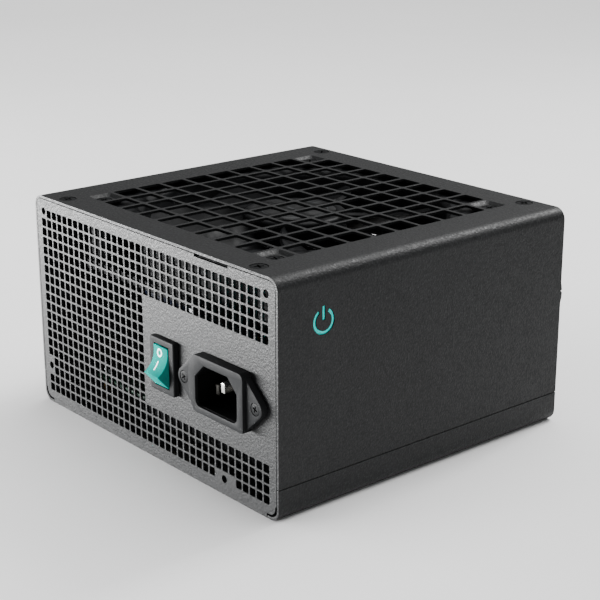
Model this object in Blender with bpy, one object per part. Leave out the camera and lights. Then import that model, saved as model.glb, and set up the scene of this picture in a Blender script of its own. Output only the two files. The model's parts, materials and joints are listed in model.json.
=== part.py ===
"""Desktop computer power supply unit: sheet steel housing, intake fan, mains inlet, switch and power board.

Metres, +Z up. The origin is the middle of the bottom face. The mains side faces -Y and the cable side +Y.
"""

import math

import bmesh
import bpy
from mathutils import Matrix, Vector

# Housing
BODY_WIDTH = 0.150
BODY_DEPTH = 0.140
BODY_HEIGHT = 0.086
SHEET = 0.0010
CORNER_RADIUS = 0.0045
LIP_HEIGHT = 0.0120
GAP = 0.0003
PANEL_SIDE_FLANGE = 0.009
PANEL_TOP_FLANGE = 0.011
PANEL_BEND_DEPTH = 0.0032
RELIEF_WIDTH = 0.0009
RELIEF_HEIGHT = 0.0056
FLANGE_TO_CORNER = 0.0106
SIDE_FLANGE_TOP = 0.075

# Square vents of the mains side
VENT_PITCH = 0.00382
VENT_HOLE = 0.00285
VENT_COLUMNS = 37
VENT_ROWS = 20
VENT_FIRST_X = -0.0690
VENT_TOP_Z = 0.0793
MOUNT_HOLE_RADIUS = 0.00145
MOUNT_HOLES = ((-0.069, 0.080, 0.003), (0.069, 0.080, 0.003), (-0.069, 0.016, 0.003), (0.045, 0.006, 0.0055))
MOUNT_LAND_HALF_HEIGHT = 0.003
PLAIN_LAND_LEFT = -0.002
PLAIN_LAND_BOTTOM = 0.020
PLAIN_LAND_TOP = 0.062
TOP_SLOT_MIDDLE = 0.0394
TOP_SLOT_LENGTH = 0.0188
TOP_SLOT_HEIGHT = 0.0009

# Intake grille in the top
CELL_PITCH = 0.01155
CELL_HOLE = 0.0095
CELLS_A_SIDE = 10
POCKET_SIZE = 0.0098
POCKET_BELOW_FLANGE = 0.0001
POCKET_DEPTH = SHEET + POCKET_BELOW_FLANGE
COVER_SCREW_X = 0.059
COVER_SCREW_INSET = 0.0052

# Countersunk screws
COVER_SCREW_HEAD_RADIUS = 0.0031
FAN_SCREW_HEAD_RADIUS = 0.0029
INLET_SCREW_HEAD_RADIUS = 0.0021
COVER_SCREW_SHANK = 0.0015
FAN_SCREW_SHANK = 0.0010
INLET_SCREW_SHANK = 0.0010
SCREW_HEAD_HEIGHT = 0.0012
SCREW_CLEARANCE = 0.00025
CROSS_REACH_SHARE = 0.55
CROSS_ARM_SHARE = 0.12
CROSS_DEPTH_SHARE = 0.7
SEAT_DEPTH = 0.0060
COVER_SCREW_LENGTH = 0.0050
INLET_SCREW_LENGTH = 0.0055

# Cut-out mark in the right side wall and the coloured plate behind it
MARK_Y = -0.0502
MARK_Z = 0.0678
MARK_RADIUS = 0.0047
MARK_STROKE = 0.0013
MARK_BAR_LENGTH = 0.0050
MARK_PLATE = (0.016, 0.017, 0.0006)

# Intake fan
FAN_SIDE = 0.120
FAN_HEIGHT = 0.025
FAN_HOLE_SPACING = 0.105
FAN_DUCT_RADIUS = 0.0580
FAN_FLANGE = 0.0035
FAN_DUCT_WALL = 0.0018
FAN_CORNER_RADIUS = 0.006
FAN_LUG_RADIUS = 0.0060
HUB_RADIUS = 0.0200
HUB_HEIGHT = 0.0190
HUB_WALL = 0.0014
HUB_BELOW_FRAME = 0.0012
BLADES = 7
BLADE_TIP_RADIUS = 0.0565
BLADE_THICKNESS = 0.0014
BLADE_DROP = 0.0165
MOTOR_BASE_RADIUS = 0.0205
MOTOR_BASE_THICKNESS = 0.0024
STRUT_WIDTH = 0.0060
BEARING_TUBE_RADIUS = 0.0046
SHAFT_RADIUS = 0.0015
BEARING_WALL = 0.0011
MAGNET_WALL = 0.0018
STATOR_AIR_GAP = 0.0025
STATOR_RADIUS = HUB_RADIUS - HUB_WALL - GAP - MAGNET_WALL - STATOR_AIR_GAP
STATOR_ARMS = 4
STATOR_ARM_WIDTH = 0.0044
STATOR_HUB_WALL = 0.0030
STATOR_ABOVE_BASE = 0.0030
STATOR_ARM_INSET = 0.0010
FAN_HOLE_SHARE = 0.6
FAN_SCREW_LENGTH = 0.0065
BLADE_SWEEP = 12
BLADE_WRAP = 50
BLADE_WRAP_LOSS = 4
BLADE_DROP_LOSS = 0.22
BLADE_BELOW_HUB = 0.0012
BLADE_TIP_FALL = 0.0016
HUB_EDGE = 0.0012
HUB_LABEL_INSET = 0.0042
TUBE_BELOW_HUB = 0.0050
BEARING_BELOW_HUB = 0.0060
SHAFT_ABOVE_BASE = 0.0020
MAGNET_LOW_INSET = 0.0020
MAGNET_TOP_INSET = 0.0010

# Rocker switch
SWITCH_X = 0.0123
SWITCH_Z = 0.0394
BEZEL_WIDTH = 0.0146
BEZEL_HEIGHT = 0.0204
BEZEL_PROUD = 0.0025
BEZEL_ROUND = 0.0007
SWITCH_BODY_WIDTH = 0.0128
SWITCH_BODY_HEIGHT = 0.0188
SWITCH_BODY_DEPTH = 0.0150
ROCKER_WIDTH = 0.0087
ROCKER_RADIUS = 0.00835
ROCKER_PIVOT_DEPTH = 0.00074
ROCKER_RIDGE_ANGLE = 39.7
ROCKER_FOOT_ANGLE = 91.2
ROCKER_TAIL_ANGLE = 100.0
ROCKER_TILT = 24.0
ROCKER_VALLEY = 0.00175
ROCKER_BACK_SHARE = 0.5
ROCKER_WELL_SHARE = 0.25
SWITCH_BACK_WALL = 0.0020
SWITCH_BLADE_ROOM = 0.0012
AXLE_HOLE_CLEARANCE = 0.0001
ROCKER_CLEARANCE = 0.0003
AXLE_STUB_RADIUS = 0.0010
AXLE_STUB_LENGTH = 0.0008
PLUNGER_REACH = 0.0080
PLUNGER_RADIUS = 0.0009
BLADE_CLEARANCE = 0.0003
CONTACT_BLADE = (0.0040, 0.0006, 0.0100)
CONTACT_TILT = 8.0
TERMINAL = (0.0048, 0.0008)
TERMINAL_REACH = 0.0080
TERMINAL_FROM_BLADE_END = 0.0006

# Mains inlet
INLET_X = 0.0462
INLET_Z = 0.0395
INLET_SCREW_SPACING = 0.040
INLET_EAR_RADIUS = 0.0035
INLET_EAR_LEAN = 65
INLET_EAR_PROUD = 0.0028
INLET_EAR_ROOT = 0.0091
INLET_BLOCK_WIDTH = 0.0305
INLET_BLOCK_HEIGHT = 0.0212
INLET_BLOCK_PROUD = 0.0043
INLET_BLOCK_RISE = 0.0005
INLET_BLOCK_ROUND = 0.0018
INLET_LEFT_CUT = (0.0027, 0.0048)
SOCKET_WIDTH = 0.0234
SOCKET_HEIGHT = 0.0158
SOCKET_SHIFT = (0.0003, 0.0002)
SOCKET_CHAMFER = 0.0050
SOCKET_ROUND = 0.0024
SOCKET_WALL = 0.0014
SOCKET_DEPTH = 0.0195
SOCKET_FLOOR = 0.0020
PIN = (0.0020, 0.0040)
PIN_SPACING = 0.0070
EARTH_PIN_RISE = 0.0012
LINE_PIN_DROP = 0.0022
PIN_TIP_BEVEL = 0.0005
EARTH_PIN_RECESS = 0.0033
LINE_PIN_RECESS = 0.0062
PIN_TAIL = 0.0070

# Cable outlet on the rear panel
OUTLET_Z = 0.0512
OUTLET_RADIUS = 0.0110
BUSHING_RADIUS = 0.0150
BUSHING_EDGE = 0.0025
BUSHING_PROUD = 0.0044
BUSHING_SOFT = 0.0010
BUSHING_SNAP = 0.0020
BUSHING_SPLIT = 0.0008
REAR_SLOT = (0.0035, 0.0200)
REAR_SLOTS = 10
REAR_SLOT_PITCH = 0.0080
REAR_SLOT_ROWS = (0.027, 0.055)

# Power board
BOARD = (0.136, 0.112, 0.0016)
BOARD_Y = 0.004
BOARD_Z = 0.0078
STANDOFF_RADIUS = 0.0030
STANDOFF_INSET = 0.0055
STANDOFF_BORE = 0.0016
STANDOFF_FLOOR = 0.0020
BOARD_HOLE_RADIUS = 0.0018
BOARD_SCREW_HEAD = (0.0028, 0.0018)
BOARD_SCREW_EDGE = 0.0012
BOARD_SCREW_SHANK = (0.0013, 0.0040)
INSULATION = 0.0004
CAN_FOOT_SHARE = 0.93
CAN_FOOT_HEIGHT = 0.0012
RING_SOFT_SHARE = 0.3
SINK_THICKNESS = 0.0030
SINK_FINS = 4
SINK_FIN_REACH = 0.0110
SINK_FIN_THICKNESS = 0.0016
SINK_FIN_PITCH = 0.0055
SINK_FIN_INSET = 0.0020
TRANSFORMER = (0.034, 0.016, 0.030)
TRANSFORMER_FRAME = 0.0050
WINDING_DEPTH = 0.0300
WINDING_ROUND = 0.0060
OUTPUT_CAN = (0.0050, 0.0200)
OUTPUT_CANS = 4
OUTPUT_CAN_PITCH = 0.0115
COVER_SCREW_SINK = 0.00005

LABEL = (0.108, 0.052, 0.0003)
ROUND_SEGMENTS = 24
SCREW_SEGMENTS = 12

FRONT_Y = -BODY_DEPTH / 2
REAR_Y = BODY_DEPTH / 2
FAN_TOP_Z = BODY_HEIGHT - POCKET_DEPTH - SHEET - GAP
FAN_BOTTOM_Z = FAN_TOP_Z - FAN_HEIGHT
HUB_TOP_Z = FAN_TOP_Z - HUB_BELOW_FRAME
BOARD_TOP_Z = BOARD_Z + BOARD[2]
OUTLET_X = BODY_WIDTH / 2 - BUSHING_EDGE - BUSHING_RADIUS


def clear_scene():
    for old in list(bpy.data.objects):
        bpy.data.objects.remove(old, do_unlink=True)


def make_material(name, color, roughness, metallic=0.0):
    material = bpy.data.materials.new(name)
    material.use_nodes = True
    shader = material.node_tree.nodes["Principled BSDF"]
    shader.inputs["Base Color"].default_value = (*color, 1.0)
    shader.inputs["Roughness"].default_value = roughness
    shader.inputs["Metallic"].default_value = metallic
    material.diffuse_color = (*color, 1.0)
    return material


def make_materials():
    return {
        "coated_steel": make_material("coated_steel", (0.035, 0.037, 0.038), 0.55, 0.2),
        "black_plastic": make_material("black_plastic", (0.045, 0.045, 0.047), 0.5),
        "fan_plastic": make_material("fan_plastic", (0.030, 0.032, 0.034), 0.42),
        "teal_plastic": make_material("teal_plastic", (0.035, 0.56, 0.47), 0.35),
        "black_steel": make_material("black_steel", (0.05, 0.05, 0.052), 0.4, 0.8),
        "nickel": make_material("nickel", (0.72, 0.72, 0.71), 0.22, 1.0),
        "steel": make_material("steel", (0.45, 0.45, 0.46), 0.35, 1.0),
        "aluminium": make_material("aluminium", (0.66, 0.67, 0.69), 0.4, 1.0),
        "copper": make_material("copper", (0.62, 0.28, 0.12), 0.35, 1.0),
        "bronze": make_material("bronze", (0.50, 0.34, 0.16), 0.4, 1.0),
        "ferrite": make_material("ferrite", (0.06, 0.06, 0.065), 0.6),
        "board": make_material("board", (0.02, 0.13, 0.06), 0.5),
        "sleeve": make_material("sleeve", (0.02, 0.03, 0.08), 0.3),
        "yellow_film": make_material("yellow_film", (0.65, 0.45, 0.06), 0.4),
        "label": make_material("label", (0.03, 0.03, 0.035), 0.45),
    }


def new_object(name, mesh, material):
    """A linked object that holds this mesh and material, flat faces sharp and round ones smooth."""
    mesh.name = name
    mesh.materials.clear()
    mesh.materials.append(material)
    mesh.shade_smooth()
    mesh.set_sharp_from_angle(angle=math.radians(35))
    made = bpy.data.objects.new(name, mesh)
    bpy.context.scene.collection.objects.link(made)
    return made


def mesh_from(shape):
    """A mesh of this bmesh, its faces turned outwards."""
    bmesh.ops.recalc_face_normals(shape, faces=shape.faces)
    mesh = bpy.data.meshes.new("shape")
    shape.to_mesh(mesh)
    shape.free()
    return mesh


def box(low, high):
    """An upright box between two corners."""
    shape = bmesh.new()
    bmesh.ops.create_cube(shape, size=1.0)
    size = Vector(high) - Vector(low)
    bmesh.ops.scale(shape, vec=size, verts=shape.verts)
    bmesh.ops.translate(shape, vec=(Vector(high) + Vector(low)) / 2, verts=shape.verts)
    return mesh_from(shape)


AXIS_TURNS = {
    "X": Matrix(((0, 0, 1), (1, 0, 0), (0, 1, 0))).to_4x4(),
    "Y": Matrix(((1, 0, 0), (0, 0, 1), (0, 1, 0))).to_4x4(),
    "Z": Matrix.Identity(4),
}


def prism(outline, axis, start, end):
    """An outline pulled along an axis. Its points are (y, z) for X, (x, z) for Y and (x, y) for Z."""
    shape = bmesh.new()
    corners = [shape.verts.new((u, v, start)) for u, v in outline]
    face = shape.faces.new(corners)
    pulled = bmesh.ops.extrude_face_region(shape, geom=[face])
    moved = [item for item in pulled["geom"] if isinstance(item, bmesh.types.BMVert)]
    bmesh.ops.translate(shape, vec=(0, 0, end - start), verts=moved)
    bmesh.ops.transform(shape, matrix=AXIS_TURNS[axis], verts=shape.verts)
    return mesh_from(shape)


def arc(middle, radius, start, end, steps):
    """Points along an arc, angles in degrees."""
    angles = [math.radians(start + (end - start) * i / steps) for i in range(steps + 1)]
    return [(middle[0] + radius * math.cos(a), middle[1] + radius * math.sin(a)) for a in angles]


def circle(middle, radius, segments=ROUND_SEGMENTS):
    return arc(middle, radius, 0, 360 - 360 / segments, segments - 1)


def rounded_rectangle(middle, width, height, radius, steps=3):
    across = width / 2 - radius
    up = height / 2 - radius
    points = []
    for turn, (side, rise) in enumerate(((1, 1), (-1, 1), (-1, -1), (1, -1))):
        corner = (middle[0] + side * across, middle[1] + rise * up)
        points += arc(corner, radius, 90 * turn, 90 * turn + 90, steps)
    return points


def turned(profile, middle, segments=ROUND_SEGMENTS):
    """A closed (radius, z) profile spun once about a vertical axis through this point."""
    shape = bmesh.new()
    corners = [shape.verts.new((radius, 0, z)) for radius, z in profile]
    edges = [shape.edges.new((corners[i - 1], corners[i])) for i in range(len(corners))]
    bmesh.ops.spin(shape, geom=corners + edges, axis=(0, 0, 1), cent=(0, 0, 0),
                   angle=2 * math.pi, steps=segments, use_merge=True)
    bmesh.ops.remove_doubles(shape, verts=shape.verts, dist=1e-6)
    flat = [face for face in shape.faces if face.calc_area() < 1e-14]
    bmesh.ops.delete(shape, geom=flat, context="FACES")
    bmesh.ops.translate(shape, vec=middle, verts=shape.verts)
    return mesh_from(shape)


def together(meshes):
    """One mesh that holds several separate closed shapes, to cut with."""
    shape = bmesh.new()
    for mesh in meshes:
        shape.from_mesh(mesh)
        bpy.data.meshes.remove(mesh)
    return mesh_from(shape)


def combine(mesh, other, operation):
    """The exact union or difference of two meshes, which it uses up."""
    base = bpy.data.objects.new("base", mesh)
    tool = bpy.data.objects.new("tool", other)
    for item in (base, tool):
        bpy.context.scene.collection.objects.link(item)
    change = base.modifiers.new("change", "BOOLEAN")
    change.operation = operation
    change.solver = "EXACT"
    change.object = tool
    bpy.context.view_layer.update()
    seen = base.evaluated_get(bpy.context.evaluated_depsgraph_get())
    result = bpy.data.meshes.new_from_object(seen)
    for item in (base, tool):
        bpy.data.objects.remove(item, do_unlink=True)
    return result


def cut(mesh, *tools):
    for tool in tools:
        mesh = combine(mesh, tool, "DIFFERENCE")
    return mesh


def join(mesh, *others):
    for other in others:
        mesh = combine(mesh, other, "UNION")
    return mesh


def turn_mesh(mesh, degrees, axis, pivot):
    """The mesh turned about an axis through a point."""
    turn = Matrix.Rotation(math.radians(degrees), 4, axis)
    mesh.transform(Matrix.Translation(pivot) @ turn @ Matrix.Translation(-Vector(pivot)))
    return mesh


def countersunk_screw(length, head_radius, shank):
    """A flat-headed screw that points down from its head, with a cross recess."""
    profile = [(0, 0), (head_radius, 0), (head_radius, -SCREW_HEAD_HEIGHT / 3),
               (shank, -SCREW_HEAD_HEIGHT), (shank, -length), (0, -length)]
    body = turned(profile, (0, 0, 0), SCREW_SEGMENTS)
    reach = head_radius * CROSS_REACH_SHARE
    arm = head_radius * CROSS_ARM_SHARE
    depth = SCREW_HEAD_HEIGHT * CROSS_DEPTH_SHARE
    level = box((-reach, -arm, -depth), (reach, arm, depth))
    upright = box((-arm, -reach, -depth), (arm, reach, depth))
    return cut(body, join(level, upright))


def screw_seat(head_radius, shank_radius):
    """The cutter for a screw's hole and its countersink, a little larger than the screw."""
    head = head_radius + SCREW_CLEARANCE
    shank = shank_radius + SCREW_CLEARANCE
    below = SCREW_HEAD_HEIGHT + SCREW_CLEARANCE
    profile = [(0, SHEET), (head, SHEET), (head, -SCREW_HEAD_HEIGHT / 3),
               (shank, -below), (shank, -SEAT_DEPTH), (0, -SEAT_DEPTH)]
    return turned(profile, (0, 0, 0), SCREW_SEGMENTS)


def cover_seats():
    """The cutters for the cover screws' seats, one for each of cover_screw_places."""
    seats = []
    for x, y in cover_screw_places():
        seats.append(place(screw_seat(COVER_SCREW_HEAD_RADIUS, COVER_SCREW_SHANK), x, y, BODY_HEIGHT))
    return seats


def place(mesh, x, y, z, degrees=0.0, axis="X"):
    """The mesh turned about the origin and then moved."""
    mesh.transform(Matrix.Translation((x, y, z)) @ Matrix.Rotation(math.radians(degrees), 4, axis))
    return mesh


def mark_outlines():
    """The strokes of the cut-out mark in the (y, z) plane: an open ring and the bar in its gap."""
    outer = arc((MARK_Y, MARK_Z), MARK_RADIUS, 125, 415, 24)
    inner = arc((MARK_Y, MARK_Z), MARK_RADIUS - MARK_STROKE, 415, 125, 24)
    half = MARK_STROKE / 2
    bar_top = MARK_Z + MARK_RADIUS + MARK_STROKE / 2
    bar_bottom = bar_top - MARK_BAR_LENGTH
    left, right = MARK_Y - half, MARK_Y + half
    return [outer + inner, [(left, bar_bottom), (right, bar_bottom), (right, bar_top), (left, bar_top)]]


def cover_screw_places():
    inset = BODY_DEPTH / 2 - COVER_SCREW_INSET
    return [(x, y) for x in (-COVER_SCREW_X, COVER_SCREW_X) for y in (-inset, inset)]


def fan_screw_places():
    half = FAN_HOLE_SPACING / 2
    return [(x, y) for x in (-half, half) for y in (-half, half)]


def is_corner_cell(column, row):
    last = CELLS_A_SIDE - 1
    return column in (0, last) and row in (0, last)


def top_cover(material):
    """The folded cover: top with the intake grille and both side walls."""
    half = BODY_WIDTH / 2
    bend = (half - CORNER_RADIUS, BODY_HEIGHT - CORNER_RADIUS)
    foot = LIP_HEIGHT + GAP
    inner = CORNER_RADIUS - SHEET
    outline = [(half, foot)] + arc(bend, CORNER_RADIUS, 0, 90, 6)
    outline += arc((-bend[0], bend[1]), CORNER_RADIUS, 90, 180, 6) + [(-half, foot)]
    outline += [(SHEET - half, foot)] + arc((-bend[0], bend[1]), inner, 180, 90, 6)
    outline += arc(bend, inner, 90, 0, 6) + [(half - SHEET, foot)]
    shell = prism(outline, "Y", FRONT_Y, REAR_Y)

    top = BODY_HEIGHT
    deep = top - POCKET_DEPTH
    reach = POCKET_SIZE / 2
    trays = []
    hollows = []
    wide = reach + SHEET
    for x, y in fan_screw_places():
        trays.append(box((x - wide, y - wide, deep - SHEET), (x + wide, y + wide, top - SHEET / 2)))
        hollows.append(box((x - reach, y - reach, deep), (x + reach, y + reach, top + SHEET)))
    for tray in trays:
        shell = join(shell, tray)
    shell = cut(shell, together(hollows))

    cells = []
    middle = (CELLS_A_SIDE - 1) / 2
    for column in range(CELLS_A_SIDE):
        for row in range(CELLS_A_SIDE):
            if is_corner_cell(column, row):
                continue
            x = (column - middle) * CELL_PITCH
            y = (row - middle) * CELL_PITCH
            hole = CELL_HOLE / 2
            cells.append(box((x - hole, y - hole, deep - 2 * SHEET), (x + hole, y + hole, top + SHEET)))
    shell = cut(shell, together(cells))

    seats = cover_seats()
    for x, y in fan_screw_places():
        seats.append(place(screw_seat(FAN_SCREW_HEAD_RADIUS, FAN_SCREW_SHANK), x, y, deep))
    marks = [prism(stroke, "X", half - 2 * SHEET, half + SHEET) for stroke in mark_outlines()]
    shell = cut(shell, together(seats), together(marks))
    return new_object("top_cover", shell, material)


def bottom_tray(material):
    """The tray: floor and two low side lips, notched at both ends for the end panels."""
    half = BODY_WIDTH / 2
    inner = CORNER_RADIUS - SHEET
    bend = (half - CORNER_RADIUS, CORNER_RADIUS)
    outline = [(half, LIP_HEIGHT), (half - SHEET, LIP_HEIGHT)] + arc(bend, inner, 0, -90, 6)
    outline += arc((-bend[0], bend[1]), inner, 270, 180, 6)
    outline += [(SHEET - half, LIP_HEIGHT), (-half, LIP_HEIGHT)]
    outline += arc((-bend[0], bend[1]), CORNER_RADIUS, 180, 270, 6) + arc(bend, CORNER_RADIUS, -90, 0, 6)
    tray = prism(outline, "Y", FRONT_Y, REAR_Y)
    reach = half - CORNER_RADIUS - 2 * SHEET
    notches = []
    for side in (FRONT_Y, REAR_Y):
        inward = -math.copysign(PANEL_BEND_DEPTH + GAP, side)
        low, high = sorted((side - inward, side + inward))
        notches.append(box((-reach - GAP, low, -SHEET), (reach + GAP, high, 2 * SHEET)))
    return new_object("bottom_tray", cut(tray, together(notches)), material)


def panel_blank(side):
    """An end panel's plate, bend and flanges. side is -1 at the mains side and 1 at the cable side."""
    inset = SHEET + GAP
    half = BODY_WIDTH / 2 - inset
    radius = CORNER_RADIUS - inset
    top = BODY_HEIGHT - inset
    face = side * BODY_DEPTH / 2

    def slab(low_x, high_x, near, far, low_z, high_z):
        low, high = sorted((face - side * near, face - side * far))
        return box((low_x, low, low_z), (high_x, high, high_z))

    relief = CORNER_RADIUS + RELIEF_WIDTH
    foot = half + inset - SHEET - RELIEF_WIDTH
    relief_x, relief_z = BODY_WIDTH / 2 - relief, relief - RELIEF_WIDTH
    turn = CORNER_RADIUS - SHEET - RELIEF_WIDTH / 2
    floor = SHEET + RELIEF_WIDTH
    bend_reach = BODY_WIDTH / 2 - CORNER_RADIUS - 2 * SHEET
    plate = arc((half - radius, top - radius), radius, 0, 90, 4)
    plate += arc((radius - half, top - radius), radius, 90, 180, 4)
    plate += [(-half, RELIEF_HEIGHT), (-foot, RELIEF_HEIGHT)]
    plate += arc((-relief_x, relief_z), turn, 180, 270, 4)
    plate += [(-bend_reach, floor), (-bend_reach, 0), (bend_reach, 0), (bend_reach, floor)]
    plate += arc((relief_x, relief_z), turn, 270, 360, 4)
    plate += [(foot, RELIEF_HEIGHT), (half, RELIEF_HEIGHT)]
    near, far = sorted((face, face - side * SHEET))
    blank = prism(plate, "Y", near, far)

    flange = BODY_WIDTH / 2 - FLANGE_TO_CORNER
    parts = [slab(-bend_reach, bend_reach, SHEET / 2, PANEL_BEND_DEPTH, 0, SHEET)]
    slot_left = TOP_SLOT_MIDDLE - TOP_SLOT_LENGTH / 2
    slot_right = TOP_SLOT_MIDDLE + TOP_SLOT_LENGTH / 2
    parts.append(slab(-flange, slot_left, SHEET / 2, PANEL_TOP_FLANGE, top - SHEET, top))
    parts.append(slab(slot_right, flange, SHEET / 2, PANEL_TOP_FLANGE, top - SHEET, top))
    flange_low = LIP_HEIGHT + 2 * GAP
    for wall in (-half, half - SHEET):
        parts.append(slab(wall, wall + SHEET, SHEET / 2, PANEL_SIDE_FLANGE, flange_low, SIDE_FLANGE_TOP))
    blank = join(blank, *parts)
    slot = slab(slot_left, slot_right, -SHEET, 2 * SHEET, top - TOP_SLOT_HEIGHT, top + SHEET)
    seats = [seat for seat, (x, y) in zip(cover_seats(), cover_screw_places()) if y * side > 0]
    return cut(blank, slot, together(seats))


def vent_is_kept(x, z):
    if x > PLAIN_LAND_LEFT and PLAIN_LAND_BOTTOM < z < PLAIN_LAND_TOP:
        return False
    for hole_x, hole_z, land in MOUNT_HOLES:
        if abs(x - hole_x) <= land and abs(z - hole_z) <= MOUNT_LAND_HALF_HEIGHT:
            return False
    return True


def ac_panel(material):
    """The mains side panel with its vents, screw holes and cut-outs for the switch and the inlet."""
    half = VENT_HOLE / 2
    outside, inside = FRONT_Y - SHEET, FRONT_Y + 2 * SHEET
    vents = []
    for row in range(VENT_ROWS):
        for column in range(VENT_COLUMNS):
            x = VENT_FIRST_X + column * VENT_PITCH
            z = VENT_TOP_Z - row * VENT_PITCH
            if vent_is_kept(x, z):
                vents.append(box((x - half, outside, z - half), (x + half, inside, z + half)))
    holes = [prism(circle((x, z), MOUNT_HOLE_RADIUS, 12), "Y", outside, inside) for x, z, _ in MOUNT_HOLES]
    seat = SWITCH_BODY_WIDTH / 2 + GAP
    seat_up = SWITCH_BODY_HEIGHT / 2 + GAP
    holes.append(box((SWITCH_X - seat, outside, SWITCH_Z - seat_up),
                     (SWITCH_X + seat, inside, SWITCH_Z + seat_up)))
    holes.append(prism(socket_outline(SOCKET_WALL + GAP), "Y", outside, inside))
    for x in inlet_screw_xs():
        hole = INLET_SCREW_SHANK + SCREW_CLEARANCE
        holes.append(prism(circle((x, INLET_Z), hole, 12), "Y", outside, inside))
    return new_object("ac_panel", cut(panel_blank(-1), together(vents), together(holes)), material)


def rear_panel(material):
    """The cable side panel with its vent slots and the hole for the cable bushing."""
    inside, outside = REAR_Y - 2 * SHEET, REAR_Y + SHEET
    across, up = REAR_SLOT[0] / 2, REAR_SLOT[1] / 2
    openings = []
    for z in REAR_SLOT_ROWS:
        for number in range(REAR_SLOTS):
            x = OUTLET_X - BUSHING_RADIUS - REAR_SLOT_PITCH * (number + 1)
            openings.append(box((x - across, inside, z - up), (x + across, outside, z + up)))
    outlet = circle((OUTLET_X, OUTLET_Z), OUTLET_RADIUS + BUSHING_SNAP, 32)
    openings.append(prism(outlet, "Y", inside, outside))
    return new_object("rear_panel", cut(panel_blank(1), together(openings)), material)


def cable_bushing(material):
    """The split snap-in bushing that lines the cable outlet."""
    neck = OUTLET_RADIUS + BUSHING_SNAP - GAP
    bead = neck + 2 * GAP
    inner_end = -SHEET - BUSHING_SNAP
    profile = [(OUTLET_RADIUS, inner_end), (neck, inner_end), (bead, -SHEET - GAP), (neck, -SHEET - GAP),
               (neck, GAP), (BUSHING_RADIUS, GAP), (BUSHING_RADIUS, BUSHING_PROUD - BUSHING_SOFT),
               (BUSHING_RADIUS - BUSHING_SOFT, BUSHING_PROUD), (OUTLET_RADIUS, BUSHING_PROUD)]
    ring = place(turned(profile, (0, 0, 0), 24), OUTLET_X, REAR_Y, OUTLET_Z, -90)
    split = BUSHING_SPLIT / 2
    low = (OUTLET_X, REAR_Y - 0.01, OUTLET_Z + BUSHING_SPLIT - split)
    high = (OUTLET_X + 2 * BUSHING_RADIUS, REAR_Y + 0.01, OUTLET_Z + BUSHING_SPLIT + split)
    return new_object("cable_bushing", cut(ring, box(low, high)), material)


def inlet_screw_xs():
    return (INLET_X - INLET_SCREW_SPACING / 2, INLET_X + INLET_SCREW_SPACING / 2)


def socket_outline(grow=0.0):
    """The socket's opening, two corners cut at the top, grown outwards by this much."""
    across = SOCKET_WIDTH / 2 + grow
    up = SOCKET_HEIGHT / 2 + grow
    slope = SOCKET_CHAMFER + grow * (2 - math.sqrt(2))
    turn = SOCKET_ROUND + grow
    points = [(across, up - slope), (across - slope, up), (slope - across, up), (-across, up - slope)]
    points += arc((turn - across, turn - up), turn, 180, 270, 3)
    points += arc((across - turn, turn - up), turn, 270, 360, 3)
    shift_x, shift_z = SOCKET_SHIFT
    return [(INLET_X + shift_x + x, INLET_Z + shift_z + z) for x, z in points]


def flange_outline():
    """The inlet's flange: an ear at each end, drawn in to the screw."""
    reach = INLET_SCREW_SPACING / 2
    root = INLET_BLOCK_WIDTH / 2
    right = arc((reach, 0), INLET_EAR_RADIUS, -INLET_EAR_LEAN, INLET_EAR_LEAN, 8)
    outline = [(root, -INLET_EAR_ROOT)] + right + [(root, INLET_EAR_ROOT)]
    outline += [(-x, -z) for x, z in outline]
    return [(INLET_X + x, INLET_Z + z) for x, z in outline]


def block_outline():
    """The raised front of the inlet. Its left corners are cut to the line of the ear."""
    across = INLET_BLOCK_WIDTH / 2
    up = INLET_BLOCK_HEIGHT / 2
    cut_x, cut_z = INLET_LEFT_CUT
    turn = INLET_BLOCK_ROUND
    points = [(-across + cut_x, -up)] + arc((across - turn / 2, -up + turn / 2), turn / 2, -90, 0, 2)
    points += arc((across - turn, up - turn), turn, 0, 90, 4)
    points += [(-across + cut_x, up), (-across, up - cut_z), (-across, -up + cut_z)]
    return [(INLET_X + x, INLET_Z + INLET_BLOCK_RISE + z) for x, z in points]


def pin_places():
    """Name, x, z and recess below the inlet's front of each pin."""
    line_z = INLET_Z - LINE_PIN_DROP
    return (
        ("inlet_pin_live", INLET_X - PIN_SPACING, line_z, LINE_PIN_RECESS),
        ("inlet_pin_neutral", INLET_X + PIN_SPACING, line_z, LINE_PIN_RECESS),
        ("inlet_pin_earth", INLET_X, INLET_Z + EARTH_PIN_RISE, EARTH_PIN_RECESS),
    )


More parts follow.
